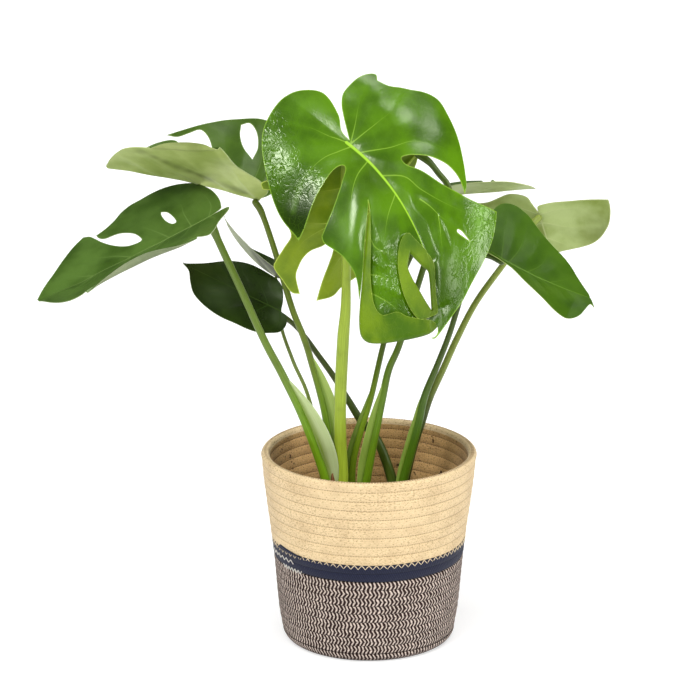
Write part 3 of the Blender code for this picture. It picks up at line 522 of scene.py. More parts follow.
                  (16, 42, 311), (35, 60, 378), (66, 76, 436)],
        "sheath": (160, 262, 6, 195, "green")},
}
EDGE_STEP = 1.6                 # spacing of points along a blade's edge
HOLE_STEP = EDGE_STEP * 0.8     # the same round a hole
VEIN_STEP = 1.5                 # spacing of points along its veins
FILL_STEP = 2.1                 # spacing of points inside a blade
FILL_ROWS = FILL_STEP * 0.87    # spacing of their rows
FLAP_STEP, FLAP_ROWS = 1.8, 1.6      # the same inside a turned-over edge
ROLL_ROWS = 16                  # rows of points across a rolled edge
FOLD_ROWS = (0.02, 0.09, 0.2, 0.36, 0.58, 0.85)    # rows beside a fold, in its radii
VEIN_END = 1.4                  # how far from the edge a vein ends at least
VALLEY, GROOVE = 14.0, 2.6      # half widths of the soft dip and of the line along a vein
STILL = 14.0                    # how far from a fold the blade is calmer
BLADE = 0.6                     # thickness between the veins
CAD_BLADE = 1.1                 # the solid's thickness
SEAT = 5.0                      # where on the midrib the stalk's top sits
KNOB = 1.2                      # how many times thicker the stalk's top is
GAP = 0.3                       # air between neighbouring solids
FAR = 99.0                      # stands for "no vein near", in mm


def blade_frame(leaf):
    """The midrib's direction, the leaf's left and the upper face's normal at the joint."""
    h, p, r = (math.radians(leaf[k]) for k in ("heading", "pitch", "roll"))
    along = np.array([math.cos(h) * math.cos(p), math.sin(h) * math.cos(p), math.sin(p)])
    up = np.array([-math.cos(h) * math.sin(p), -math.sin(h) * math.sin(p), math.cos(p)])
    left = np.cross(up, along)
    return along, math.cos(r) * left + math.sin(r) * up, math.cos(r) * up - math.sin(r) * left


def arc(start, bend, length):
    """Where an arc ends that leaves at the angle start and turns down by bend per mm."""
    bend = np.where(np.abs(bend) < 1e-7, 1e-7, bend)
    end = start - bend * length
    return (np.sin(start) - np.sin(end)) / bend, (np.cos(end) - np.cos(start)) / bend, end


def place_blade(leaf, s, t, h):
    """Positions in mm of points (s, t) of the flat blade, raised h above its face."""
    along, left, up = blade_frame(leaf)
    on_left = t >= 0
    fold = np.radians(np.where(on_left, *leaf["fold"]))
    if "tip_fold" in leaf:
        *tip, reach = leaf["tip_fold"]
        share = np.clip(s / reach, 0, 1)
        fold = fold * (1 - share) + np.radians(np.where(on_left, *tip)) * share
    curl = np.radians(np.where(on_left, *leaf["curl"])) / 100
    x, z, turn = arc(fold, curl, np.abs(t))
    x = np.where(on_left, 1, -1) * (x - h * np.sin(turn))
    x = x + leaf["sweep"] * np.clip(s / 100, 0, None) ** 2
    z = z + h * np.cos(turn)
    bend = np.radians(np.where(s >= 0, leaf["droop"], leaf["nape"])) / 100
    a, c, turn = arc(0.0, bend, np.abs(s))
    side = np.where(s >= 0, 1, -1)
    turn = side * turn
    return (np.array(leaf["joint"]) + np.multiply.outer(side * a, along)
            + np.multiply.outer(c, up) + np.multiply.outer(x, left)
            + np.multiply.outer(z * np.cos(turn), up) - np.multiply.outer(z * np.sin(turn), along))


def inside(points, ring):
    """Which of the points lie inside the closed polygon."""
    hit = np.zeros(len(points), bool)
    for (x0, y0), (x1, y1) in zip(ring, np.roll(ring, -1, axis=0)):
        spans = (y0 > points[:, 1]) != (y1 > points[:, 1])
        if spans.any():
            hit ^= spans & (points[:, 0] < x0 + (points[:, 1] - y0) * (x1 - x0) / (y1 - y0))
    return hit


def trace(strokes, step):
    """One closed ring of points from the strokes, and the stretch that each stroke covers."""
    ring, spans = [], []
    start = strokes[-1][-1]
    for stroke in strokes:
        curve = smooth([start, *stroke], step)
        start = stroke[-1]
        spans.append((len(ring), len(ring) + len(curve) - 1))
        ring.extend(curve[:-1])
    return np.array(ring), spans


def closest(points, line, block=2000):
    """Each point's distance to the nearest of the line's points, and which one that is."""
    gap, near = np.empty(len(points)), np.empty(len(points), int)
    for i in range(0, len(points), block):
        away = np.linalg.norm(points[i:i + block, None] - line[None], axis=2)
        gap[i:i + block], near[i:i + block] = away.min(axis=1), away.argmin(axis=1)
    return gap, near


def nearest(points, targets):
    """Distance from each point to the nearest target."""
    return closest(points, targets)[0]


def ahead_of(line):
    """The line's direction at each of its points."""
    ahead = np.gradient(line, axis=0)
    return ahead / np.linalg.norm(ahead, axis=1)[:, None]


def turn_of(ring):
    """1 for a ring that runs anticlockwise, -1 for clockwise."""
    x, y = ring.T
    return 1.0 if np.sum(x * np.roll(y, -1) - y * np.roll(x, -1)) > 0 else -1.0


def beside(points, line):
    """For each point: its distance to a line, the nearest line point, and the side it is on."""
    gap, near = closest(points, line)
    (x, y), away = ahead_of(line)[near].T, points - line[near]
    side = x * away[:, 1] - y * away[:, 0]
    inner = (near > 0) & (near < len(line) - 1)
    return np.where(inner, np.minimum(gap, np.abs(side)), gap), near, side


def rows_beside(line, hand, radius, within, edge):
    """Rows of points along a fold, on the side `hand` of it, closest where it bends most."""
    sideways = ahead_of(line)[:, ::-1] * (-1, 1)
    for share in FOLD_ROWS:
        row = line + sideways * (hand * radius * share)
        row = row[within(row)]
        yield from row[nearest(row, edge) > radius * share * 0.9]


def honeycomb(border, across, up):
    """Points in staggered rows over a border's box."""
    low, high = border.min(axis=0), border.max(axis=0)
    return np.array([(s + (across / 2 if k % 2 else 0), t)
                     for k, t in enumerate(np.arange(low[1], high[1], up))
                     for s in np.arange(low[0], high[0], across)])


def triangles(points, edges, within, tolerance):
    """A flat mesh of the points: the places of its vertices, and its triangles."""
    flat = [Vector((float(s), float(t))) for s, t in points]
    spot, _, faces, *_ = delaunay_2d_cdt(flat, edges, [], 0, tolerance)
    spot = np.array([(p.x, p.y) for p in spot])
    faces = np.array([tuple(f) for f in faces])
    return spot, faces[within(spot[faces].mean(axis=1))]


def chain(first, count, closed=False):
    """Edges between successive points, and back to the first of them if it is a ring."""
    edges = [(first + i, first + i + 1) for i in range(count - 1)]
    return edges + [(first + count - 1, first)] if closed else edges


def bulge(radius, gap):
    """Half the width of a fold's round section at a distance from its line."""
    depth = np.clip(radius - gap, 0, None)
    return np.sqrt(np.clip(radius * radius - depth * depth, 0, None))


class Pattern:
    """A flat blade as a mesh.

    at is the place (s, t, h) of each vertex and flat its place on the unrolled leaf; rolled
    says how far out it is on a turned-up edge, rim its distance to the edge, vein and fade
    its distance to a vein and how far out along that vein, and calm how much it may wave.
    """

    def __init__(self, leaf):
        rings = [trace(leaf["outline"], EDGE_STEP)]
        rings += [trace(hole, HOLE_STEP) for hole in leaf.get("holes", [])]
        border = np.vstack([ring for ring, _ in rings])
        folds = self.find_folds(leaf, rings)
        veins = self.lay_flat(leaf, rings, border, folds)
        ring, spans = rings[0]
        for stroke, roll in leaf.get("rolled", {}).items():
            self.add_roll(ring, *spans[stroke], *roll)
        for fold in folds:
            self.add_flap(*fold)
        self.at, self.flat, self.rolled = map(np.array, (self.at, self.flat, self.rolled))
        self.measure(border, folds, veins)

    def lay_flat(self, leaf, rings, border, folds):
        """Mesh the blade without its turned-over edges, and return its lateral veins."""
        points, edges = list(border), []
        for ring, _ in rings:
            edges += chain(len(edges), len(ring), closed=True)

        def within(spots):
            keep = inside(spots, rings[0][0])
            for ring, _ in rings[1:]:
                keep &= ~inside(spots, ring)
            return keep

        lines = []
        for vein in [[(4, 0), (leaf["rib"][1], 0)]] + leaf["veins"]:
            line = smooth(vein, VEIN_STEP)
            keep = within(line) & (nearest(line, border) > VEIN_END)
            start = int(keep.argmax())
            end = start + int(np.append(~keep[start:], True).argmax())
            if end - start > 2:
                lines.append(line[start:end])
        for line in lines:
            edges += chain(len(points), len(line))
            points.extend(line)
        for _, line, _, hand, radius in folds:
            points.extend(rows_beside(line, hand, radius.max(), within, border))
        grid = honeycomb(border, FILL_STEP, FILL_ROWS)
        grid = grid[within(grid)]
        grid = grid[nearest(grid, np.array(points)) > FILL_STEP * 0.55]
        spot, faces = triangles([*points, *grid], edges, within, 1e-4)
        self.faces = [tuple(int(v) for v in f) for f in faces]
        rise = np.zeros(len(spot))
        self.calm = np.ones(len(spot))
        for _, line, cover, hand, radius in folds:
            gap, near, side = beside(spot, line)
            r = radius[near]
            low = (gap < r) & ((side * hand >= 0) | (gap < 0.3))
            rise[low] = np.maximum(rise, r - bulge(r, gap))[low]
            self.calm = np.minimum(self.calm, np.clip(gap / STILL, 0.1, 1))
            self.calm = np.minimum(self.calm, np.where(inside(spot, cover), 0.35, 1))
        self.at = [(s, t, z) for (s, t), z in zip(spot, rise)]
        self.flat = [(s, t) for s, t in spot]
        self.rolled = [0.0] * len(spot)
        self.ends = []
        return lines[1:]

    def measure(self, border, folds, veins):
        """How far each vertex is from the veins and from the blade's real edge."""
        self.vein = np.full(len(self.flat), FAR)
        self.fade = np.zeros(len(self.flat))
        for line in veins:
            gap, near = closest(self.flat, line)
            closer = gap < self.vein
            self.vein = np.where(closer, gap, self.vein)
            self.fade = np.where(closer, near / (len(line) - 1), self.fade)
        edge = np.ones(len(border), bool)
        for start, line, *_ in folds:
            edge[start:start + len(line)] = False
        self.rim = nearest(self.flat, border[edge])
        self.rim[self.rolled > 0] = 9.0
        self.calm = np.concatenate([self.calm, np.zeros(len(self.flat) - len(self.calm))])
        for line in self.ends:
            self.rim[line] = 0.0

    def find_folds(self, leaf, rings):
        """For each fold: its first ring point, its line, its cover, its side and its radii."""
        folds = []
        for radius, stroke, free in leaf.get("folds", []):
            ring, spans = rings[0]
            start, end = spans[stroke]
            line = ring[start:end + 1]
            share = np.arange(len(line)) / (len(line) - 1)
            radii = radius * np.clip(np.minimum(share / 0.12, (1 - share) / 0.06), 0.02, 1)
            cover = np.vstack([line, smooth([line[-1], *free, line[0]], EDGE_STEP)[1:-1]])
            folds.append((start, line, cover, turn_of(ring), radii))
        for radius, hole, free in leaf.get("rims", []):
            ring = rings[1 + hole][0]
            start = sum(len(r) for r, _ in rings[:1 + hole])
            line = np.vstack([ring, ring[:1]])
            cover = smooth(free, EDGE_STEP)[:-1]
            folds.append((start, line, cover, -turn_of(ring), np.full(len(line), radius)))
        return folds

    def add_flap(self, start, line, cover, hand, radius):
        """The turned-over part: it starts on the fold's line and lies over the blade."""
        closed = np.allclose(line[0], line[-1])
        own, free = (line[:-1], cover) if closed else (line, cover[len(line):])
        if closed:
            edges = chain(0, len(own), closed=True) + chain(len(own), len(free), closed=True)
        else:
            edges = chain(0, len(own) + len(free), closed=True)

        def within(spots):
            keep = inside(spots, cover)
            return keep & ~inside(spots, own) if closed else keep

        rows = np.array(list(rows_beside(line, hand, radius.max(), within, own)))
        points = np.vstack([own, free, rows[nearest(rows, free) > 0.5]])
        grid = honeycomb(cover, FLAP_STEP, FLAP_ROWS)
        grid = grid[within(grid)]
        grid = grid[nearest(grid, points) > 1.0]
        spot, faces = triangles([*points, *grid], edges, within, 1e-5)
        gap, near, _ = beside(spot, line)
        r = radius[near]
        high = r + bulge(r, gap)
        high += 0.10 * np.clip(gap - r, 0, None) * (1 - np.exp(-gap / 9))
        ids = []
        for (s, t), z in zip(spot, high):
            match = np.flatnonzero(np.abs(own - (s, t)).sum(axis=1) < 1e-3)
            if len(match):
                ids.append(start + int(match[0]))
                continue
            ids.append(len(self.at))
            self.at.append((s, t, z))
            self.flat.append((s, t))
            self.rolled.append(0.5)
        self.ends.append([i for i, on in zip(ids, nearest(spot, free) < 0.35) if on])
        self.faces.extend(tuple(ids[v] for v in reversed(f)) for f in faces)

    def add_roll(self, ring, start, end, width, radius, angle, taper):
        """Add a curled-up edge along a stretch of the outline."""
        count = end - start
        spots = [ring[(start + i) % len(ring)] for i in range(count + 1)]
        hand = turn_of(ring)
        rows = [[(start + i) % len(ring) for i in range(count + 1)]]
        for row in range(1, ROLL_ROWS + 1):
            line = [rows[0][0]]
            for i in range(1, count):
                ahead = spots[min(i + 2, count)] - spots[max(i - 2, 0)]
                ahead = ahead / np.linalg.norm(ahead)
                out = hand * np.array([ahead[1], -ahead[0]])
                reach = width * math.sin(math.pi * i / count) ** taper * row / ROLL_ROWS
                turn = min(reach / radius, math.radians(angle))
                rest = reach - turn * radius
                far = radius * math.sin(turn) + rest * math.cos(turn)
                high = radius * (1 - math.cos(turn)) + rest * math.sin(turn)
                line.append(len(self.at))
                self.at.append((*(spots[i] + out * far), high))
                self.flat.append(tuple(spots[i] + out * reach))
                self.rolled.append(row / ROLL_ROWS)
            line.append(rows[0][-1])
            rows.append(line)
        self.ends.append(rows[-1])
        for low, high in zip(rows, rows[1:]):
            for i in range(count):
                quad = [low[i], low[i + 1], high[i + 1], high[i]]
                quad = [v for k, v in enumerate(quad) if v != quad[k - 1]]
                self.faces.append(tuple(quad[::-1] if hand > 0 else quad))


def waves(leaf, pattern):
    """How far each point rises over the smooth blade: bulges between veins, soft waves."""
    (s, t), puff = pattern.flat.T, leaf["puff"]
    rib = np.where((s > 0) & (s < leaf["rib"][1]), np.abs(t), FAR)
    dip = np.clip(1.6 - 1.6 * pattern.fade, 0, 1) * np.exp(-(pattern.vein / VALLEY) ** 2)
    dip = np.maximum(dip, np.exp(-(rib / VALLEY) ** 2))
    rise = puff * (1 - dip) - 0.10 * np.exp(-(np.minimum(pattern.vein, rib) / GROOVE) ** 2)
    seed = len(s) % 97
    soft = np.array([noise.noise(Vector((x / 34, y / 34, seed))) for x, y in pattern.flat])
    return (rise + puff * 0.7 * soft) * pattern.calm


def patches(places, flat, fall):
    """What a leaf's round places add up to at each flat point; fall is how each fades out."""
    total = np.zeros(len(flat))
    for s, t, reach, amount in places:
        total += amount * fall(np.hypot(flat[:, 0] - s, flat[:, 1] - t) / reach)
    return total


def normals(spots, faces):
    """The unit normal at each vertex; a triangle repeats its last corner."""
    p = spots[faces]
    across = np.cross(p[:, 2] - p[:, 0], p[:, 3] - p[:, 1])
    triangle = faces[:, 2] == faces[:, 3]
    across[triangle] = np.cross(p[triangle, 1] - p[triangle, 0], p[triangle, 2] - p[triangle, 0])
    normal = np.zeros_like(spots)
    for k in range(4):
        np.add.at(normal, faces[:, k], across)
    return normal / np.linalg.norm(normal, axis=1)[:, None]


def blade(name, leaf):
    """A leaf's blade: upper face, lower face with raised veins, and the thin edge between."""
    pattern = Pattern(leaf)
    (s, t, h), flat, faces = pattern.at.T, pattern.flat, pattern.faces
    spots = place_blade(leaf, s, t, h + waves(leaf, pattern))
    normal = normals(spots, np.array([(*f, f[-1])[:4] for f in faces]))
    # The lower face stands out along the midrib, which narrows outwards, and along the veins.
    rib_width, rib_length = leaf["rib"]
    rest = 1 - flat[:, 0] / rib_length
    wide = np.clip(rest, 0.12, 1) * (flat[:, 0] > -3)
    keel = rib_width * 0.55 * wide * np.exp(-(flat[:, 1] / (rib_width * 0.8)) ** 2)
    ridge = 0.45 * np.exp(-(pattern.vein / 0.9) ** 2) * (1 - 0.8 * pattern.fade)
    under = BLADE / 2 + keel + ridge
    count = len(spots)              # of vertices on each face
    shell = np.vstack([spots + normal * BLADE / 2, spots - normal * under[:, None]])
    solid = list(faces) + [tuple(v + count for v in reversed(f)) for f in faces]
    slots = [0] * len(faces) + [1] * len(faces)
    used = set()
    for face in faces:
        used.update(zip(face, face[1:] + face[:1]))
    for a, b in used:
        if (b, a) not in used:
            solid.append((b, a, a + count, b + count))
            slots.append(1)
    wrinkle = patches(leaf.get("wrinkles", []), flat, lambda away: np.clip(1 - away, 0, 1) ** 0.8)
    # Patches of colour: partly the leaf's own, partly painted shade and painted sheen.
    tone_shade_sheen = patches(leaf.get("tones_shade_sheen", []), flat, lambda away: np.exp(-away * away))
    *skins, slot = SKINS[leaf["skin"]]
    item = add_mesh("leaf_" + name, shell, solid, skins, slots, sharp=70)
    add_spots(item, np.tile(flat, (2, 1)))
    for key, values in (("vein", pattern.vein + 1.2 * pattern.fade), ("rim", pattern.rim),
                        ("wrinkle", 0.03 + wrinkle), ("tone_shade_sheen", np.clip(tone_shade_sheen, -1, 1)),
                        ("rib", rib_width * np.clip(rest, 0, 1) ** 0.7 * (flat[:, 0] > -2))):
        add_values(item, key, np.tile(values, 2))
    fit(item, "blade_" + name, slot=slot)


def leaf_skin(name, dark, light, vein, rib, rough, spec=0.5):
    """One face of a blade: drifting green, pale veins and edge, fine wrinkles in places whose cracks
    get painted shade, and patches of painted shade and painted sheen.
    """
    m = Surface(name, dark)
    spot = m.attribute("spot", "Vector")
    gap, rim, wide, tone_shade_sheen, wrinkle = (m.attribute(key) for key in
                                     ("vein", "rim", "rib", "tone_shade_sheen", "wrinkle"))
    drift = m.add(m.noise(spot, 0.02, 2.0), m.times(m.noise(spot, 0.12), 0.15))
    net = m.cells(spot, 0.13, "DISTANCE_TO_EDGE")
    m.paint(m.span(drift, 0.40, 0.75), light)
    # Painted shade where the patches are below zero, painted sheen where they are above.
    m.paint(m.span(tone_shade_sheen, -1.0, 0.0, 1.0, 0.0), tint(dark, 0.3))
    m.paint(m.span(tone_shade_sheen, 0.0, 1.0), tint(light, 1.7, 0.06))
    m.paint(m.span(gap, 1.0, 7.0, 0.3, 0.0), light)
    m.paint(m.span(net, 0.0, 0.05, 0.05, 0.0), vein)
    m.paint(m.span(gap, 0.3, 1.1, 0.85, 0.0), vein)
    off_rib = m.minus(m.math("ABSOLUTE", m.parts(spot)[1]), m.times(wide, 0.5))
    on_rib = m.times(m.span(off_rib, -0.5, 0.35, 1.0, 0.0), m.span(wide, 0.05, 0.4))
    m.paint(on_rib, rib)
    m.paint(m.span(rim, 0.5, 1.1, 0.85, 0.0), vein)
    crack = m.off_middle(m.noise(spot, 0.11, 2.0, 0.5, 0.8))
    # Painted shade in the cracks of the wrinkled places.
    m.paint(m.times(m.span(crack, 0.0, 0.04, 1.2, 0.0), wrinkle), tint(dark, 0.3))
    height = m.add(m.span(crack, 0.0, 0.06), m.times(m.noise(spot, 0.16, 2.0, 0.5, 1.0), 0.8))
    return m.finish(Roughness=rough, Specular_IOR_Level=spec, Specular_Tint=(0.92, 1.0, 0.78),
                    Normal=m.bump(height, 0.0015, wrinkle))


def leaf_skins(kind, slot, top, under):
    """The skins of a kind of leaf's upper and lower face, and the slot that they share."""
    return leaf_skin(f"leaf_{kind}_top", *top), leaf_skin(f"leaf_{kind}_under", *under), slot


# Each face's dark, light, vein and midrib colours (linear), its roughness and its shine.
SKINS = {kind: leaf_skins(kind, *looks) for kind, looks in {
    "bright": ("leaf_bright",
               ((0.040, 0.112, 0.0003), (0.090, 0.225, 0.0010), (0.22, 0.40, 0.03),
                (0.33, 0.60, 0.03), 0.2, 0.68),
               ((0.050, 0.125, 0.001), (0.150, 0.250, 0.005), (0.40, 0.54, 0.08),
                (0.40, 0.55, 0.12), 0.40, 0.3)),
    "mid": ("leaf_mid",
            ((0.034, 0.080, 0.003), (0.062, 0.130, 0.008), (0.13, 0.22, 0.04),
             (0.17, 0.28, 0.06), 0.3, 0.35),
            # The underside's pale colours are partly its own and partly painted light, raised to stand in
            # for light shining through the leaf.
            ((0.38, 0.48, 0.12), (0.60, 0.70, 0.25), (0.48, 0.57, 0.24),
             (0.48, 0.57, 0.24), 0.45, 0.3)),
    "cool": ("leaf_mid",
             ((0.040, 0.088, 0.009), (0.085, 0.164, 0.026), (0.15, 0.25, 0.06),
              (0.19, 0.30, 0.08), 0.3, 0.45),
             ((0.16, 0.20, 0.10), (0.27, 0.31, 0.18), (0.40, 0.45, 0.28),
              (0.40, 0.45, 0.28), 0.45, 0.3)),
    "deep": ("leaf_mid",
             ((0.028, 0.078, 0.001), (0.052, 0.125, 0.003), (0.07, 0.15, 0.010),
              (0.13, 0.25, 0.03), 0.34, 0.3),
             ((0.16, 0.20, 0.03), (0.26, 0.31, 0.07), (0.40, 0.48, 0.16),
              (0.40, 0.48, 0.16), 0.45, 0.3)),
    "dark": ("leaf_dark",
             ((0.009, 0.022, 0.001), (0.022, 0.047, 0.003), (0.030, 0.065, 0.010),
              (0.045, 0.085, 0.012), 0.26, 0.5),
             ((0.22, 0.26, 0.14), (0.38, 0.42, 0.28), (0.40, 0.44, 0.28),
              (0.34, 0.40, 0.22), 0.5, 0.3)),
    "pale": ("leaf_pale",
             ((0.042, 0.088, 0.008), (0.078, 0.145, 0.020), (0.18, 0.26, 0.08),
              (0.20, 0.30, 0.10), 0.35, 0.4),
             ((0.23, 0.30, 0.060), (0.42, 0.515, 0.20), (0.45, 0.52, 0.22),
              (0.45, 0.52, 0.22), 0.45, 0.3)),
    "young": ("leaf_young",
              ((0.09, 0.20, 0.005), (0.18, 0.31, 0.02), (0.34, 0.48, 0.10),
               (0.38, 0.52, 0.10), 0.32, 0.4),
              ((0.120, 0.205, 0.002), (0.25, 0.35, 0.010), (0.54, 0.66, 0.10),
               (0.54, 0.68, 0.10), 0.40, 0.35)),
}.items()}


# ---------------------------------------------------------------- stalks, crowns, soil

def stalk_skin(name, foot, upper):
    """A stalk's skin, from its foot to its upper part: long streaks and small pale flecks."""
    m = Surface(name)
    spot = m.attribute("spot", "Vector")
    streak = m.noise(m.stretched(spot, (0.02, 0.9, 1.0)), 1.0, 3.0, 0.6)
    cloud = m.noise(spot, 0.05, 2.0)
    fleck = m.cells(m.stretched(spot, (0.8, 1.2, 1.0)), 1.0)
    share = m.span(m.parts(spot)[0], 70.0, 170.0)
    light = m.mix(share, tint(foot, 1.4, 0.01), tint(upper, 1.4, 0.01))
    dark = m.mix(share, tint(foot, 0.6), tint(upper, 0.6))
    m.colour = m.mix(share, foot, upper)
    m.paint(m.span(streak, 0.35, 0.75), light)
    m.paint(m.span(cloud, 0.5, 0.8, 0.0, 0.5), dark)
    m.paint(m.span(fleck, 0.1, 0.22, 0.3, 0.0), light)
    return m.finish(Roughness=0.36, Specular_IOR_Level=0.4,
                    Normal=m.bump(m.add(streak, m.times(fleck, 0.2)), 0.0004, 0.4))


# Each leaf's own stalk: the linear colours of its foot and of its upper part.
STALK_SKINS = {
    "front": stalk_skin("stalk_light", (0.31, 0.42, 0.026), (0.28, 0.38, 0.028)),
    "left": stalk_skin("stalk_fresh", (0.15, 0.30, 0.005), (0.11, 0.175, 0.014)),
    "back_left": stalk_skin("stalk_grey", (0.14, 0.26, 0.006), (0.11, 0.155, 0.013)),
    "low_left": stalk_skin("stalk_shade", (0.05, 0.085, 0.005), (0.045, 0.065, 0.007)),
    "spear": stalk_skin("stalk_spear", (0.15, 0.22, 0.02), (0.17, 0.22, 0.05)),
    "right": stalk_skin("stalk_dark", (0.060, 0.14, 0.002), (0.055, 0.095, 0.006)),
    "far_right": stalk_skin("stalk_olive", (0.03, 0.055, 0.001), (0.21, 0.265, 0.045)),
    "behind": stalk_skin("stalk_deep", (0.11, 0.22, 0.003), (0.075, 0.13, 0.006)),
    "back_right": stalk_skin("stalk_two", (0.20, 0.32, 0.010), (0.065, 0.105, 0.007)),
}
STALK_SIDES = 28
STALK_STEP = 3.0                # spacing of a stalk's rings
KNEE, KNEE_RISE = 22, 12        # how long a stalk's top is swollen, and how soon it is so


def tube_rings(route, radii):
    """Rings of a tube along a route, each with its centre and two cross directions."""
    side = np.array([1.0, 0.0, 0.0])
    rings = []
    for centre, ahead, radius in zip(route, ahead_of(route), radii):
        side = side - ahead * side.dot(ahead)
        side = side / np.linalg.norm(side)
        rings.append((centre, side.copy(), np.cross(ahead, side), radius))
    return rings


def stalk_end(leaf):
    """The centre of the stalk's round top, under the blade's seat."""
    spots = place_blade(leaf, np.full(2, SEAT), np.zeros(2), np.array([0.0, -1.0]))
    drop = leaf["thick"][-1][1] * KNOB + CAD_BLADE / 2 + GAP
    return spots[0] + (spots[1] - spots[0]) * drop


def stalk(name, leaf):
    """A leaf stalk with a thick foot, a slim waist and a knee under the blade."""
    route = smooth([*leaf["stalk"], stalk_end(leaf)], STALK_STEP)
    steps = np.concatenate([[0], np.cumsum(np.linalg.norm(np.diff(route, axis=0), axis=1))])
    total = steps[-1]
    radii = np.interp(route[:, 2], *zip(*leaf["thick"]))
    knee = np.clip((steps - total + KNEE) / KNEE_RISE, 0, 1)
    radii = radii * (1 + (KNOB - 1) * knee * knee * (3 - 2 * knee))
    rings = tube_rings(route, radii)
    points, spots = [], []
    for along, (centre, side, other, radius) in zip(steps, rings):
        for i, a in enumerate(angles(STALK_SIDES)):
            rough = noise.noise(Vector((3 * math.cos(a), 3 * math.sin(a), along / 60)))
            out = (side * math.cos(a) + other * math.sin(a)) * radius
            points.append(centre + out * (1 + 0.025 * rough))
            spots.append((along, 4 * abs(2 * i / STALK_SIDES - 1) * radius))
    # A round top, in three rings that get narrower.
    centre, side, other, radius = rings[-1]
    up = np.cross(side, other)
    for lift in np.radians((25, 50, 70)):
        for i, a in enumerate(angles(STALK_SIDES)):
            out = (side * math.cos(a) + other * math.sin(a)) * radius * math.cos(lift)
            points.append(centre + up * radius * math.sin(lift) + out)
            spots.append((total + radius * math.sin(lift),
                          4 * abs(2 * i / STALK_SIDES - 1) * radius))
    faces = tube_faces(len(rings) + 3, STALK_SIDES)
    item = add_mesh("petiole_" + name, points, faces, [STALK_SKINS[name]])
    add_spots(item, spots)
    fit(item, "stalk_" + name, slot="stalk_green")
    if "sheath" in leaf:
        sheath(name, route, radii, *leaf["sheath"])


def sheath_skin(name, near, far, edge):
    """The wing's skin: green where it joins the stalk, then paler, with a streaked edge."""
    m = Surface(name, near)
    spot = m.attribute("spot", "Vector")
    across = m.parts(spot)[1]
    streak = m.noise(m.stretched(spot, (0.03, 2.2, 1.0)), 1.0, 3.0, 0.6)
    m.paint(m.span(across, 2.5, 8.0), far)
    m.paint(m.span(streak, 0.3, 0.7, 0.0, 0.3), edge)
    m.paint(m.span(across, 13.0, 13.8), edge)
    return m.finish(Roughness=0.45, Specular_IOR_Level=0.35,
                    Normal=m.bump(streak, 0.0004, 0.5))


SHEATH_SKINS = {kind: sheath_skin("sheath_" + kind, *colours) for kind, colours in {
    "pale": ((0.19, 0.30, 0.012), (0.42, 0.52, 0.22), (0.62, 0.70, 0.44)),
    "fresh": ((0.15, 0.26, 0.006), (0.31, 0.44, 0.08), (0.56, 0.66, 0.30)),
    "green": ((0.11, 0.22, 0.004), (0.20, 0.32, 0.04), (0.42, 0.52, 0.14)),
}.items()}


def sheath(name, route, radii, low, high, width, facing, skin):
    """The wing along a stalk's lower part: a thin curved strip that tapers both ways."""
    rows, columns = 70, 14
    levels = np.linspace(low, high, rows)
    line = np.stack([np.interp(levels, route[:, 2], route[:, k]) for k in range(3)], axis=1)
    out, back = (direction(math.radians(facing + quarter)) for quarter in (0, 90))
    hand = 1 if facing < 90 else -1
    points, spots = [], []
    for share, centre, radius in zip(np.linspace(0, 1, rows), line,
                                     np.interp(levels, route[:, 2], radii)):
        reach = width * math.sin(math.pi * (0.12 + 0.88 * share)) ** 0.8
        ripple = 0.9 * noise.noise(Vector((share * 5, 0.3, width)))
        for v in np.linspace(0, 1, columns):
            bow = 0.22 * reach * math.sin(math.pi * v) + 0.3 * radius * (1 - v)
            points.append(centre + out * (radius * 0.75 + v * reach)
                          - back * (hand * bow + ripple * v))
            spots.append((share * 140, v * 14))
    item = add_mesh("sheath_" + name, points, sheet_faces(rows, columns), [SHEATH_SKINS[skin]])
    add_spots(item, spots)
    fit(thicken(item, 0.7), slot="stalk_green")


def bark_skin():
    """Brown bark with green between its rings."""
    m = Surface("crown_skin")
    rings = m.noise(m.stretched(m.place(), (60, 60, 520)), 1.0, 3.0, 0.6)
    cloud = m.noise(m.place(), 90)
    m.colour = m.ramp(m.add(m.times(rings, 0.6), m.times(cloud, 0.4)),
                      (0.3, (0.030, 0.025, 0.006)), (0.5, (0.08, 0.10, 0.012)),
                      (0.7, (0.16, 0.18, 0.03)))
    return m.finish(Roughness=0.7, Normal=m.bump(rings, 0.001, 0.8))


def crowns():
    """Short stems with leaf scars, under the stalks."""
    skin = bark_skin()
    sides, rows = 48, 26
    for name in ("crown_left", "crown_middle", "crown_right"):
        low, high = box_of(name)
        x, y, _ = (low + high) / 2
        points = []
        for row in range(rows):
            z = low[2] + (high[2] - low[2]) * row / (rows - 1)
            scar = 0.35 * (row % 5 == 0)
            girth = (high[0] - low[0]) / 2 * min(1, 0.8 + 0.04 * row) - scar - 0.5
            for a in angles(sides):
                lump = noise.noise(Vector((2 * math.cos(a) + x, 2 * math.sin(a), z / 6)))
                points.append(direction(a) * (girth + 0.5 * lump) + (x, y, z))
        fit(add_mesh(name + "_bark", points, tube_faces(rows, sides), [skin]), name,
            slot="crown_bark")


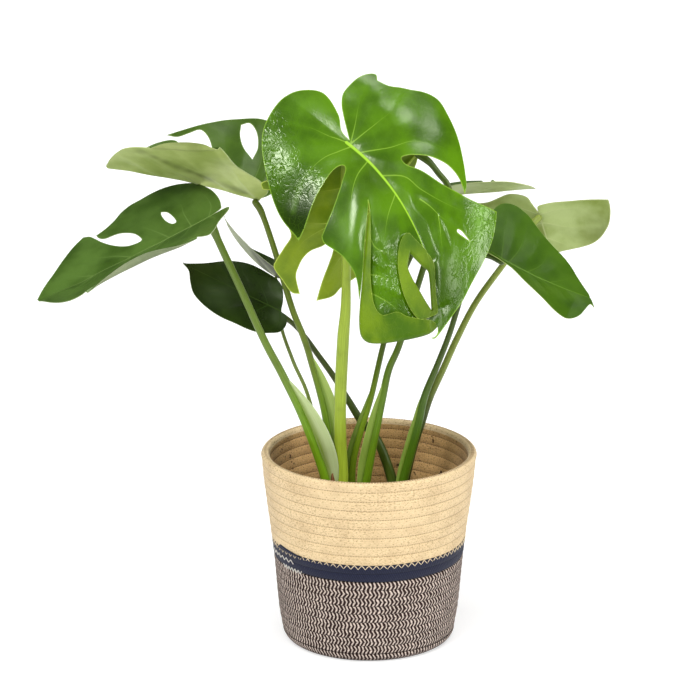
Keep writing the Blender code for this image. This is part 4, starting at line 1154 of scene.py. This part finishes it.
def dry_sheath():
    """The dead brown sheath of an old leaf: a curled papery strip with a pointed tip."""
    m = Surface("dry_sheath_skin")
    fibre = m.noise(m.stretched(m.place(), (900, 900, 60)), 1.0, 3.0, 0.6)
    m.colour = m.ramp(fibre, (0.3, (0.07, 0.025, 0.010)), (0.55, (0.22, 0.09, 0.03)),
                      (0.8, (0.42, 0.24, 0.10)))
    skin = m.finish(Roughness=0.75, Normal=m.bump(fibre, 0.0006, 0.8))
    low, high = box_of("dry_sheath")
    x, y, _ = (low + high) / 2
    rows, columns, curl = 30, 12, 1.3
    points = []
    for share in np.linspace(0, 1, rows):
        half = (high[0] - low[0]) / 2 * (1 - share ** 2.2) + 0.3
        lean = 0.6 * noise.noise(Vector((share * 4, 1.0, 2.0)))
        for v in np.linspace(-curl, curl, columns):
            points.append((x + lean + half * math.sin(v) / math.sin(curl),
                           y + 0.9 * (math.cos(v) - 0.7) * (1 - share) - 0.3,
                           low[2] + (high[2] - low[2]) * share))
    item = add_mesh("dry_leaf_sheath", points, sheet_faces(rows, columns), [skin])
    fit(thicken(item, 0.4), "dry_sheath", slot="dry_sheath")


def soil_skin():
    """Dark soil in fine grains of several browns."""
    m = Surface("soil_skin")
    grain = m.noise(m.place(), 420, 4.0, 0.7)
    cells = m.cells(m.place(), 260, out=1)
    m.colour = m.ramp(grain, (0.3, (0.010, 0.006, 0.004)), (0.55, (0.045, 0.026, 0.014)),
                      (0.75, (0.10, 0.06, 0.032)))
    m.paint(0.25, m.mix(1.0, cells, (0.10, 0.06, 0.03), "MULTIPLY"))
    return m.finish(Roughness=0.95, Normal=m.bump(grain, 0.0015, 1.0))


def soil():
    """Crumbly potting mix: a rough mound that falls off to the pot's wall, and its crumbs."""
    skin = soil_skin()
    low, high = box_of("potting_soil")
    reach, crest = high[0] - 0.6, high[2]
    shoulder, edge_drop = 62.0, 13.0
    rings, sides = 60, 150

    def ground(r, a):
        share = min(1.0, (reach - r) / (reach - shoulder))
        x, y, _ = r * direction(a)
        lump = noise.noise(Vector((x / 6, y / 6, 0)))
        lump += 0.6 * noise.noise(Vector((x / 2.4, y / 2.4, 3)))
        return (x, y, crest - edge_drop * (1 - share) - 1.6 + 1.5 * lump)

    points = [(0.0, 0.0, crest)]
    for k in range(1, rings + 1):
        points.extend(ground(reach * k / rings, a) for a in angles(sides))
    points.extend(direction(a) * reach * 0.85 + (0, 0, low[2]) for a in angles(sides))
    faces = [(0, 1 + i, 1 + (i + 1) % sides) for i in range(sides)]
    faces += flipped(tube_faces(rings + 1, sides, 1)[2:])
    faces.append(tuple(1 + rings * sides + i for i in reversed(range(sides))))
    fit(add_mesh("soil_mound", points, faces, [skin]), "potting_soil", slot="soil")
    crumbs(reach, crest, ground, skin)


def crumbs(reach, crest, ground, skin):
    """Crumbs and bark bits that lie about on the soil."""
    rng = np.random.default_rng(7)
    points, faces = [], []
    cube = np.array([(x, y, z) for x in (-1, 1) for y in (-1, 1) for z in (-1, 1)], float)
    quads = [(0, 1, 3, 2), (4, 6, 7, 5), (0, 4, 5, 1), (2, 3, 7, 6), (0, 2, 6, 4), (1, 5, 7, 3)]
    for _ in range(1500):
        r, a = (reach - 2) * math.sqrt(rng.random()), rng.random() * 2 * math.pi
        size = rng.uniform(0.5, 1.6) * np.array([1, rng.uniform(0.5, 1), rng.uniform(0.35, 0.8)])
        body = cube * size * rng.uniform(0.7, 1.1, cube.shape)
        turn = rng.random() * math.pi
        tip = rng.uniform(-0.7, 0.7)
        spin = np.array([[math.cos(turn), -math.sin(turn), 0],
                         [math.sin(turn), math.cos(turn), 0], [0, 0, 1]])
        tilt = np.array([[1, 0, 0], [0, math.cos(tip), -math.sin(tip)],
                         [0, math.sin(tip), math.cos(tip)]])
        x, y, z = ground(r, a)
        first = len(points)
        points.extend(body @ tilt.T @ spin.T + (x, y, min(z + 0.3, crest - 0.4)))
        faces.extend(tuple(first + v for v in quad) for quad in quads)
    fit(add_mesh("soil_crumbs", points, faces, [skin], sharp=20), slot="soil")


# ---------------------------------------------------------------- pot and basket

def turned(name, profile, materials, slots=None, sides=192, wobble=None):
    """A closed profile of (radius, height), in mm, turned round the Z axis."""
    radius, height = (np.repeat(column[:, None], sides, axis=1)
                      for column in np.array(profile, float).T)
    turns = np.array(angles(sides))
    if wobble:
        radius, height = wobble(radius, height, turns)
    points = np.stack([radius * np.cos(turns), radius * np.sin(turns), height], axis=2)
    # The last row of quads leads back to the first ring.
    count = height.size
    faces = [tuple(v % count for v in face) for face in tube_faces(len(profile) + 1, sides)[2:]]
    slots = np.repeat(slots or [0] * len(profile), sides)
    return add_mesh(name, points.reshape(-1, 3), faces, materials, slots, sharp=75)


def pot():
    """The black nursery pot with its rolled lip."""
    m = Surface("pot_plastic_skin", (0.012, 0.012, 0.013))
    grain = m.noise(m.place(), 1400, 2.0)
    dust = m.noise(m.place(), 60, 4.0, 0.7)
    m.paint(m.span(dust, 0.5, 0.8, 0.0, 0.5), (0.07, 0.055, 0.04))
    skin = m.finish(Roughness=m.span(dust, 0.3, 0.8, 0.38, 0.6),
                    Normal=m.bump(grain, 0.0002, 0.6))
    (_, _, foot), (rim_r, _, rim) = box_of("nursery_pot")
    foot_r, lip, lip_foot, steps = 68.0, 3.0, rim - 12, 11
    profile = [(2.0, foot + 3), (3.0, foot + 0.4), (foot_r - 4, foot + 0.2),
               (foot_r - 1, foot + 0.8), (foot_r, foot + 3)]
    for share in np.arange(1, steps + 1) / steps:
        profile.append((foot_r + (rim_r - lip - foot_r) * share,
                        foot + 3 + (lip_foot - foot - 3) * share))
    profile += [(rim_r - 0.6, lip_foot), (rim_r, rim - 11), (rim_r, rim - 1.6),
                (rim_r - 0.8, rim - 0.3), (rim_r - 1.8, rim), (rim_r - 3.2, rim - 0.4),
                (rim_r - 3.8, rim - 1.8), (foot_r - 1.6, foot + 4), (foot_r - 4, foot + 2.4),
                (3.0, foot + 2.2), (2.0, foot + 2.4)]
    fit(turned("nursery_pot_shell", profile, [skin]), "nursery_pot", slot="pot_plastic")


WALL = 9.0                      # thickness of the basket's wall
WALL_SIDES = 256
COILS = 9                       # rope coils in the jute wall, and in the two-tone wall
NAVY_COILS = 2
ROUND = 640.0                   # length of rope in one round, for the skins
# (height, outer radius) up the wall, from the floor to the rim
WALL_SHAPE = ((0, 84.0), (5, 89), (10, 91.5), (30, 95), (49, 97), (93, 100.8), (127, 104.6),
              (177, 111.5), (206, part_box("basket_jute_wall")[1][0] / MM))


def wall_radius(height):
    """Outer radius of the basket at a height, in mm."""
    return float(np.interp(height, *zip(*WALL_SHAPE)))


def scallops(foot, pitch, coils, fine, depth, round_by):
    """Heights up a wall of coils, and how far its face is sunk there: most between coils."""
    for k in range(coils * fine):
        v = (k % fine + 0.5) / fine
        height = foot + k // fine * pitch + v * pitch
        yield height, depth * (1 - math.sqrt(max(0.0, 1 - round_by * (2 * v - 1) ** 2)))


def rope_profile(foot, top, coils, round_top=False):
    """The scalloped cross-section of a wall of rope coils, and which rows face inwards."""
    pitch = (top - foot) / coils
    outer = [(wall_radius(z) - 0.1 - sink, z)
             for z, sink in scallops(foot, pitch, coils, fine=14, depth=1.1, round_by=0.97)]
    inner = [(wall_radius(z) - WALL + 0.1 + sink, z)
             for z, sink in scallops(foot, pitch, coils, fine=9, depth=1.3, round_by=0.985)]
    crown = []
    if round_top:
        half, base = WALL / 2, top - pitch / 2
        outer, inner = ([spot for spot in side if spot[1] <= base + 1e-6] for side in (outer, inner))
        middle = wall_radius(top) - half - 0.1
        crown = [(middle + half * math.cos(a), base + pitch / 2 * math.sin(a) ** 0.9)
                 for a in (math.pi * k / 16 for k in range(1, 16))]
    return outer + crown + inner[::-1], [0] * (len(outer) + len(crown)) + [1] * len(inner)


def hand_made(radius, height, turns):
    """Small unevenness of hand-sewn coils."""
    radius, height = radius.copy(), height.copy()
    for row, level in enumerate(height[:, 0].copy()):
        for i, a in enumerate(turns):
            place = Vector((1.6 * math.cos(a), 1.6 * math.sin(a), level / 55))
            radius[row, i] += 0.55 * noise.noise(place)
            height[row, i] += 0.30 * noise.noise(place + Vector((7, 0, 0)))
    return radius, height


class Rope(Surface):
    """The skin of a wall of coils.

    turn is the place along the rope in rounds, coil the place upwards in coils, across the
    place across the rope (0 to 1), middle its distance from the rope's middle, and flat the
    rope laid out straight, in mm.
    """

    def __init__(self, name, foot, pitch):
        super().__init__(name)
        x, y, z = self.parts(self.place())
        self.turn = self.times(self.math("ARCTAN2", y, x), 1 / (2 * math.pi))
        self.coil = self.times(self.minus(z, foot * MM), 1 / (pitch * MM))
        self.across = self.math("FRACT", self.coil)
        self.middle = self.off_middle(self.across)
        self.flat = self.node("ShaderNodeCombineXYZ", {0: self.times(self.turn, ROUND),
                                                       1: self.times(self.coil, pitch)})

    def fibres(self, scale, rough=0.65, distortion=0.0):
        """Fine noise on the rope laid out straight, stretched by the scale."""
        return self.noise(self.stretched(self.flat, scale), 1.0, 4.0, rough, distortion)

    def plait(self, strands, lean):
        """Slanting strands, so many in a round."""
        return self.zigzag(self.add(self.times(self.turn, strands), self.times(self.across, lean)))

    def woven(self, height, depth, strength, rough, spec, **more):
        """Finish a matt skin with this relief."""
        return self.finish(Roughness=rough, Specular_IOR_Level=spec,
                           Normal=self.bump(height, depth, strength), **more)


def jute_skin(name, foot, pitch, colours, groove_shade, soil_and_foot_shade=0.0):
    """Natural jute rope: slanting fibres, flecks, stitch holes, and sewn grooves darkened with painted
    shade.
    """
    m = Rope(name, foot, pitch)
    dark, base, light = colours
    plait = m.plait(300.0, 1.7)
    fibre = m.fibres((0.55, 1.6, 1.0), distortion=0.6)
    fleck = m.noise(m.stretched(m.flat, (0.38, 0.75, 1.0)), 1.0, 2.0, 0.6)
    patch = m.span(m.noise(m.flat, 0.02, 1.0), 0.35, 0.6, 0.25, 1.0)
    m.colour = m.mix(m.span(fibre, 0.32, 0.68), base, light)
    m.paint(m.times(m.span(fleck, 0.52, 0.64, 0.0, 0.6), patch), dark)
    m.paint(m.span(m.noise(m.flat, 0.045), 0.4, 0.75, 0.0, 0.25), dark)
    dash = m.zigzag(m.times(m.turn, 240.0))
    seam = m.times(m.span(m.middle, 0.44, 0.49), m.span(dash, 0.12, 0.28, 0.1, 1.0))
    # Painted shade along the sewn groove between coils, in dashes.
    m.paint(m.times(seam, groove_shade), dark)
    holes, spacing = 78.0, 8.4
    for row, shift in ((0.30, 0.0), (0.72, 0.5)):
        step = m.minus(m.math("FRACT", m.add(m.times(m.turn, holes), shift)), 0.5)
        du, dv = m.times(step, spacing), m.times(m.minus(m.across, row), pitch)
        reach = m.math("SQRT", m.add(m.times(du, du), m.times(dv, dv)))
        m.paint(m.span(reach, 0.35, 0.75, 0.7, 0.0), dark)
    crumbs = m.span(m.noise(m.place(), 55.0, 3.0, 0.6), 0.66, 0.69, 0.0, soil_and_foot_shade)
    m.paint(crumbs, (0.035, 0.014, 0.006))
    height = m.minus(m.add(m.times(plait, 0.5), m.times(fibre, 0.9)), m.times(seam, 0.8))
    return m.woven(height, 0.0008, 0.8, 0.9, 0.2, Sheen_Weight=0.15)


def navy_skin(foot, pitch):
    """Dark blue rope with slanting strands, and painted shade in the grooves between its coils."""
    m = Rope("navy_rope_skin", foot, pitch)
    fibre = m.fibres((0.5, 1.6, 1.0), distortion=0.5)
    plait = m.plait(270.0, 2.0)
    m.colour = m.ramp(m.add(m.times(fibre, 0.7), m.times(plait, 0.5)),
                      (0.25, (0.006, 0.007, 0.018)), (0.55, (0.014, 0.017, 0.042)),
                      (0.85, (0.044, 0.052, 0.105)))
    # Painted shade in the groove between coils.
    m.paint(m.span(m.middle, 0.42, 0.49, 0.0, 0.7), (0.006, 0.008, 0.02))
    height = m.add(m.times(plait, 0.8), m.times(fibre, 0.6))
    return m.woven(height, 0.0008, 0.8, 0.85, 0.25, Sheen_Weight=0.1)


def zigzag_skin(foot, pitch, soil_and_foot_shade=0.0):
    """Plaited rope in two colours: each coil leans one way above and the other way below; its grooves and
    the crease along each coil's middle get painted shade.
    """
    m = Rope("zigzag_rope_skin", foot, pitch)
    shift = m.node("ShaderNodeTexWhiteNoise", {"W": m.math("FLOOR", m.coil)}, noise_dimensions="1D")
    lean = m.minus(1.0, m.math("ABSOLUTE", m.minus(m.times(m.across, 2.0), 1.0)))
    drift = m.add(m.times(m.minus(m.noise(m.flat, 0.08, 1.0), 0.5), 0.5),
                  m.times(m.minus(m.noise(m.flat, 0.3, 1.0), 0.5), 0.6))
    strands, slant, stagger = 148.0, 0.58, 0.65
    phase = m.minus(m.times(m.turn, strands), m.times(lean, slant))
    phase = m.add(m.add(phase, m.times(shift, stagger)), drift)
    pale = m.span(m.zigzag(phase), 0.15, 0.24, 1.0, 0.0)
    fibre = m.fibres((1.2, 1.2, 1.0), rough=0.7)
    cream = m.ramp(fibre, (0.3, (0.54, 0.42, 0.35)), (0.6, (0.88, 0.75, 0.66)),
                   (0.8, (0.95, 0.88, 0.81)))
    brown = m.ramp(fibre, (0.3, (0.018, 0.008, 0.007)), (0.6, (0.040, 0.020, 0.017)),
                   (0.85, (0.15, 0.09, 0.08)))
    # The crease along each coil's middle is sunk in the relief and gets painted shade.
    crease = m.span(m.middle, 0.0, 0.07, 0.35, 0.0)
    m.colour = m.mix(pale, brown, cream)
    # Painted shade in the groove between coils.
    m.paint(m.span(m.middle, 0.42, 0.49, 0.0, 0.75), (0.03, 0.02, 0.018))
    # Painted shade towards the foot of the wall, as strong as the given amount.
    m.paint(m.span(m.coil, 0.0, 0.7, soil_and_foot_shade, 0.0), (0.05, 0.035, 0.03))
    m.paint(crease, (0.06, 0.04, 0.035))
    bulges = m.math("ABSOLUTE", m.math("SINE", m.times(phase, 2 * math.pi)))
    height = m.minus(m.add(bulges, m.times(fibre, 0.4)), m.times(crease, 1.5))
    return m.woven(height, 0.0009, 0.9, 0.9, 0.2)


def thread_skin(name, colour):
    """Twisted sewing thread."""
    m = Surface(name, colour)
    twist = m.noise(m.place(), 2500, 2.0)
    m.paint(m.span(twist, 0.3, 0.8, 0.0, 0.4), tint(colour, 0.4))
    return m.finish(Roughness=0.8, Normal=m.bump(twist, 0.0002, 0.6))


def thread(name, routes, radius, material, slot):
    """Short thin threads, each along its own route of points in mm."""
    sides = 6
    points, faces = [], []
    for route in routes:
        faces += tube_faces(len(route), sides, len(points))
        for centre, side, other, r in tube_rings(np.array(route), [radius] * len(route)):
            points.extend(centre + (side * math.cos(a) + other * math.sin(a)) * r
                          for a in angles(sides))
    fit(add_mesh(name, points, faces, [material]), slot=slot)


def on_wall(turn, height, stand_off):
    """A point on the basket's outside at a turn in radians and a height in mm."""
    x, y, _ = direction(turn) * (wall_radius(height) + stand_off)
    return (x, y, height)


def rope_tail(level):
    """The navy rope's end, sewn flat over the lowest jute coil."""
    columns, rows = 26, 5
    points = []
    for share in np.linspace(0, 1, columns):
        tall = 1.0 + 5.0 * min(1.0, share * 6) * (1 - share) ** 0.8
        for v in np.linspace(0, 1, rows):
            points.append(on_wall(math.radians(202 + 26 * share), level - 1.0 + tall * v,
                                  0.35 + 0.5 * math.sin(math.pi * v)))
    item = add_mesh("navy_rope_tail", points, flipped(sheet_faces(columns, rows)),
                    [navy_skin(level - 1.0, 9.0)])
    fit(thicken(item, 0.8, offset=-1.0), slot="navy_rope")


def rope_wall(name, node, foot, coils, skins, slot, round_top=False):
    """A wall of coils from a height up to its solid's top; skins gives outside and inside."""
    top = top_of(node)
    rows, slots = rope_profile(foot + GAP, top, coils, round_top)
    made = skins(foot + GAP, (top - foot - GAP) / coils)
    wall = turned(name, rows, made, slots, sides=WALL_SIDES, wobble=hand_made)
    fit(wall, node, slot=slot)


def stitches(navy_top):
    """The zigzag of tan thread that joins the navy band and the jute wall."""
    count, steps = 168, 5
    routes = []
    for k in range(count):
        route = []
        for share in np.arange(steps + 1) / steps:
            down = 1 - share if k % 2 else share
            route.append(on_wall(2 * math.pi * (k + share) / count, navy_top + 0.6 - 4.4 * down,
                                 -0.5))
        routes.append(route)
    skin = thread_skin("thread_tan", (0.80, 0.66, 0.44))
    thread("edge_stitches", routes, 0.45, skin, "jute_rope")


def mending(navy_foot):
    """Two short rows of pale stitches where the ropes were joined."""
    routes = []
    for first, last, strokes, level, reach in ((193, 219, 11, navy_foot + 9.5, 1.9),
                                               (208, 226, 12, navy_foot + 1.0, 1.8)):
        for k in range(strokes):
            rise = reach if k % 2 else -reach
            routes.append([on_wall(math.radians(first + (last - first) * (k + share) / strokes),
                                   level + rise * (2 * share - 1), 0.3)
                           for share in np.linspace(0, 1, 5)])
    skin = thread_skin("thread_pale", (0.75, 0.72, 0.66))
    thread("join_stitches", routes, 0.42, skin, "two_tone_rope")


def basket():
    """The sewn rope basket: base, plaited wall, navy band, jute wall and their stitches."""
    base_top, navy_foot, navy_top = map(top_of, ("basket_base", "basket_patterned_wall",
                                                 "basket_navy_band"))
    outer = ((0.38, 0.23, 0.10), (0.72, 0.54, 0.295), (0.88, 0.69, 0.42))
    inner = ((0.16, 0.07, 0.022), (0.56, 0.32, 0.11), (0.78, 0.51, 0.23))
    rope_wall("rope_wall_jute", "basket_jute_wall", navy_top, COILS, lambda foot, pitch: [
        jute_skin("jute_outside", foot, pitch, outer, 0.85),
        jute_skin("jute_inside", foot, pitch, inner, 0.9, 0.9)], "jute_rope", round_top=True)
    rope_wall("rope_wall_navy", "basket_navy_band", navy_foot, NAVY_COILS,
              lambda *at: [navy_skin(*at)] * 2, "navy_rope")
    rope_wall("rope_wall_zigzag", "basket_patterned_wall", base_top, COILS,
              lambda *at: [zigzag_skin(*at)] * 2, "two_tone_rope")
    rows = [(1.0, 9.6), (1.0, 0.0), (82.0, 0.0), (84.5, 0.5), (87.0, 2.0), (89.0, 4.2),
            (90.6, 7.0), (91.3, 9.0), (90.8, 9.9), (84.0, 9.9)]
    # The base's skin gets painted shade towards the floor.
    base = turned("rope_base", rows, [zigzag_skin(0.0, base_top, 0.9)], sides=WALL_SIDES)
    fit(base, "basket_base", slot="two_tone_rope")
    stitches(navy_top)
    mending(navy_foot)
    rope_tail(navy_top)


# ---------------------------------------------------------------- stage, light, camera

def stage():
    """An endless white floor, and a white sky that lights the plant only a little."""
    skin = Surface("floor_skin", (0.6, 0.6, 0.6)).finish(
        Roughness=0.7, Specular_IOR_Level=0.0, Emission_Color=(1.0, 1.0, 1.0),
        Emission_Strength=0.53)
    far = 30000.0
    corners = [(-far, -far, 0), (far, -far, 0), (far, far, 0), (-far, far, 0)]
    add_mesh("floor", corners, [(0, 1, 2, 3)], [skin])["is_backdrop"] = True
    world = bpy.data.worlds.new("studio")
    world.use_nodes = True
    tree = world.node_tree
    seen = tree.nodes.new("ShaderNodeLightPath").outputs["Is Camera Ray"]
    shade = tree.nodes.new("ShaderNodeMapRange")
    shade.inputs["To Min"].default_value = 0.05
    tree.links.new(seen, shade.inputs["Value"])
    tree.links.new(shade.outputs[0], tree.nodes["Background"].inputs["Strength"])
    tree.nodes["Background"].inputs["Color"].default_value = (1.0, 1.0, 1.0, 1.0)
    bpy.context.scene.world = world
    bpy.context.scene.view_settings.view_transform = "Standard"


def far_light(name, turn, rise, spread, power, mirrored=True):
    """A lamp so far away that it falls evenly: its direction and its spread in degrees.

    Only a mirrored one shows in shiny skins.
    """
    lamp = bpy.data.lights.new(name, "SUN")
    lamp.angle = math.radians(spread)
    lamp.energy = power
    item = bpy.data.objects.new(name, lamp)
    bpy.context.scene.collection.objects.link(item)
    item.rotation_euler = (math.radians(90 - rise), 0.0, math.radians(turn))
    item.visible_glossy = mirrored


def lights():
    """Soft lamps all round: turn 0 is the camera's side, and turn 90 is the right."""
    far_light("key", -20, 42, 50, 1.15, mirrored=False)
    far_light("fill", -80, 38, 40, 0.3, mirrored=False)
    far_light("roof", 60, 78, 60, 0.8, mirrored=False)
    far_light("side", -32, 48, 14, 1.0)
    far_light("front", 14, 40, 8, 0.25)
    far_light("low", 43, 32, 13, 0.2)
    far_light("right", 77, 19, 26, 1.15)
    far_light("top", 80, 70, 16, 0.35)
    far_light("top_left", -88, 76, 14, 0.25)
    far_light("back", 160, 50, 40, 0.4)


def camera():
    """A long lens, 17 degrees above the horizon, in front of the basket."""
    view = bpy.data.cameras.new("camera")
    view.lens = 220.9
    view.sensor_width = 36.0
    view.clip_end = 100.0
    item = bpy.data.objects.new("camera", view)
    bpy.context.scene.collection.objects.link(item)
    aim = Vector((-0.0198, 0.0, 0.3158))
    rise, away = math.radians(17.06), 4.5
    item.location = aim + away * Vector((0, -math.cos(rise), math.sin(rise)))
    item.rotation_euler = (math.pi / 2 - rise, 0.0, 0.0)
    bpy.context.scene.camera = item


def write_sizes():
    """The solids' box and the dressed model's box, worked out and then dropped."""
    boxes = [[[float(c) for c in corner] for corner in box] for box in (CAD_BOX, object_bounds())]


def main():
    for name, leaf in LEAVES.items():
        blade(name, leaf)
        stalk(name, leaf)
    crowns()
    dry_sheath()
    soil()
    pot()
    basket()
    stage()
    lights()
    camera()
    write_sizes()


main()
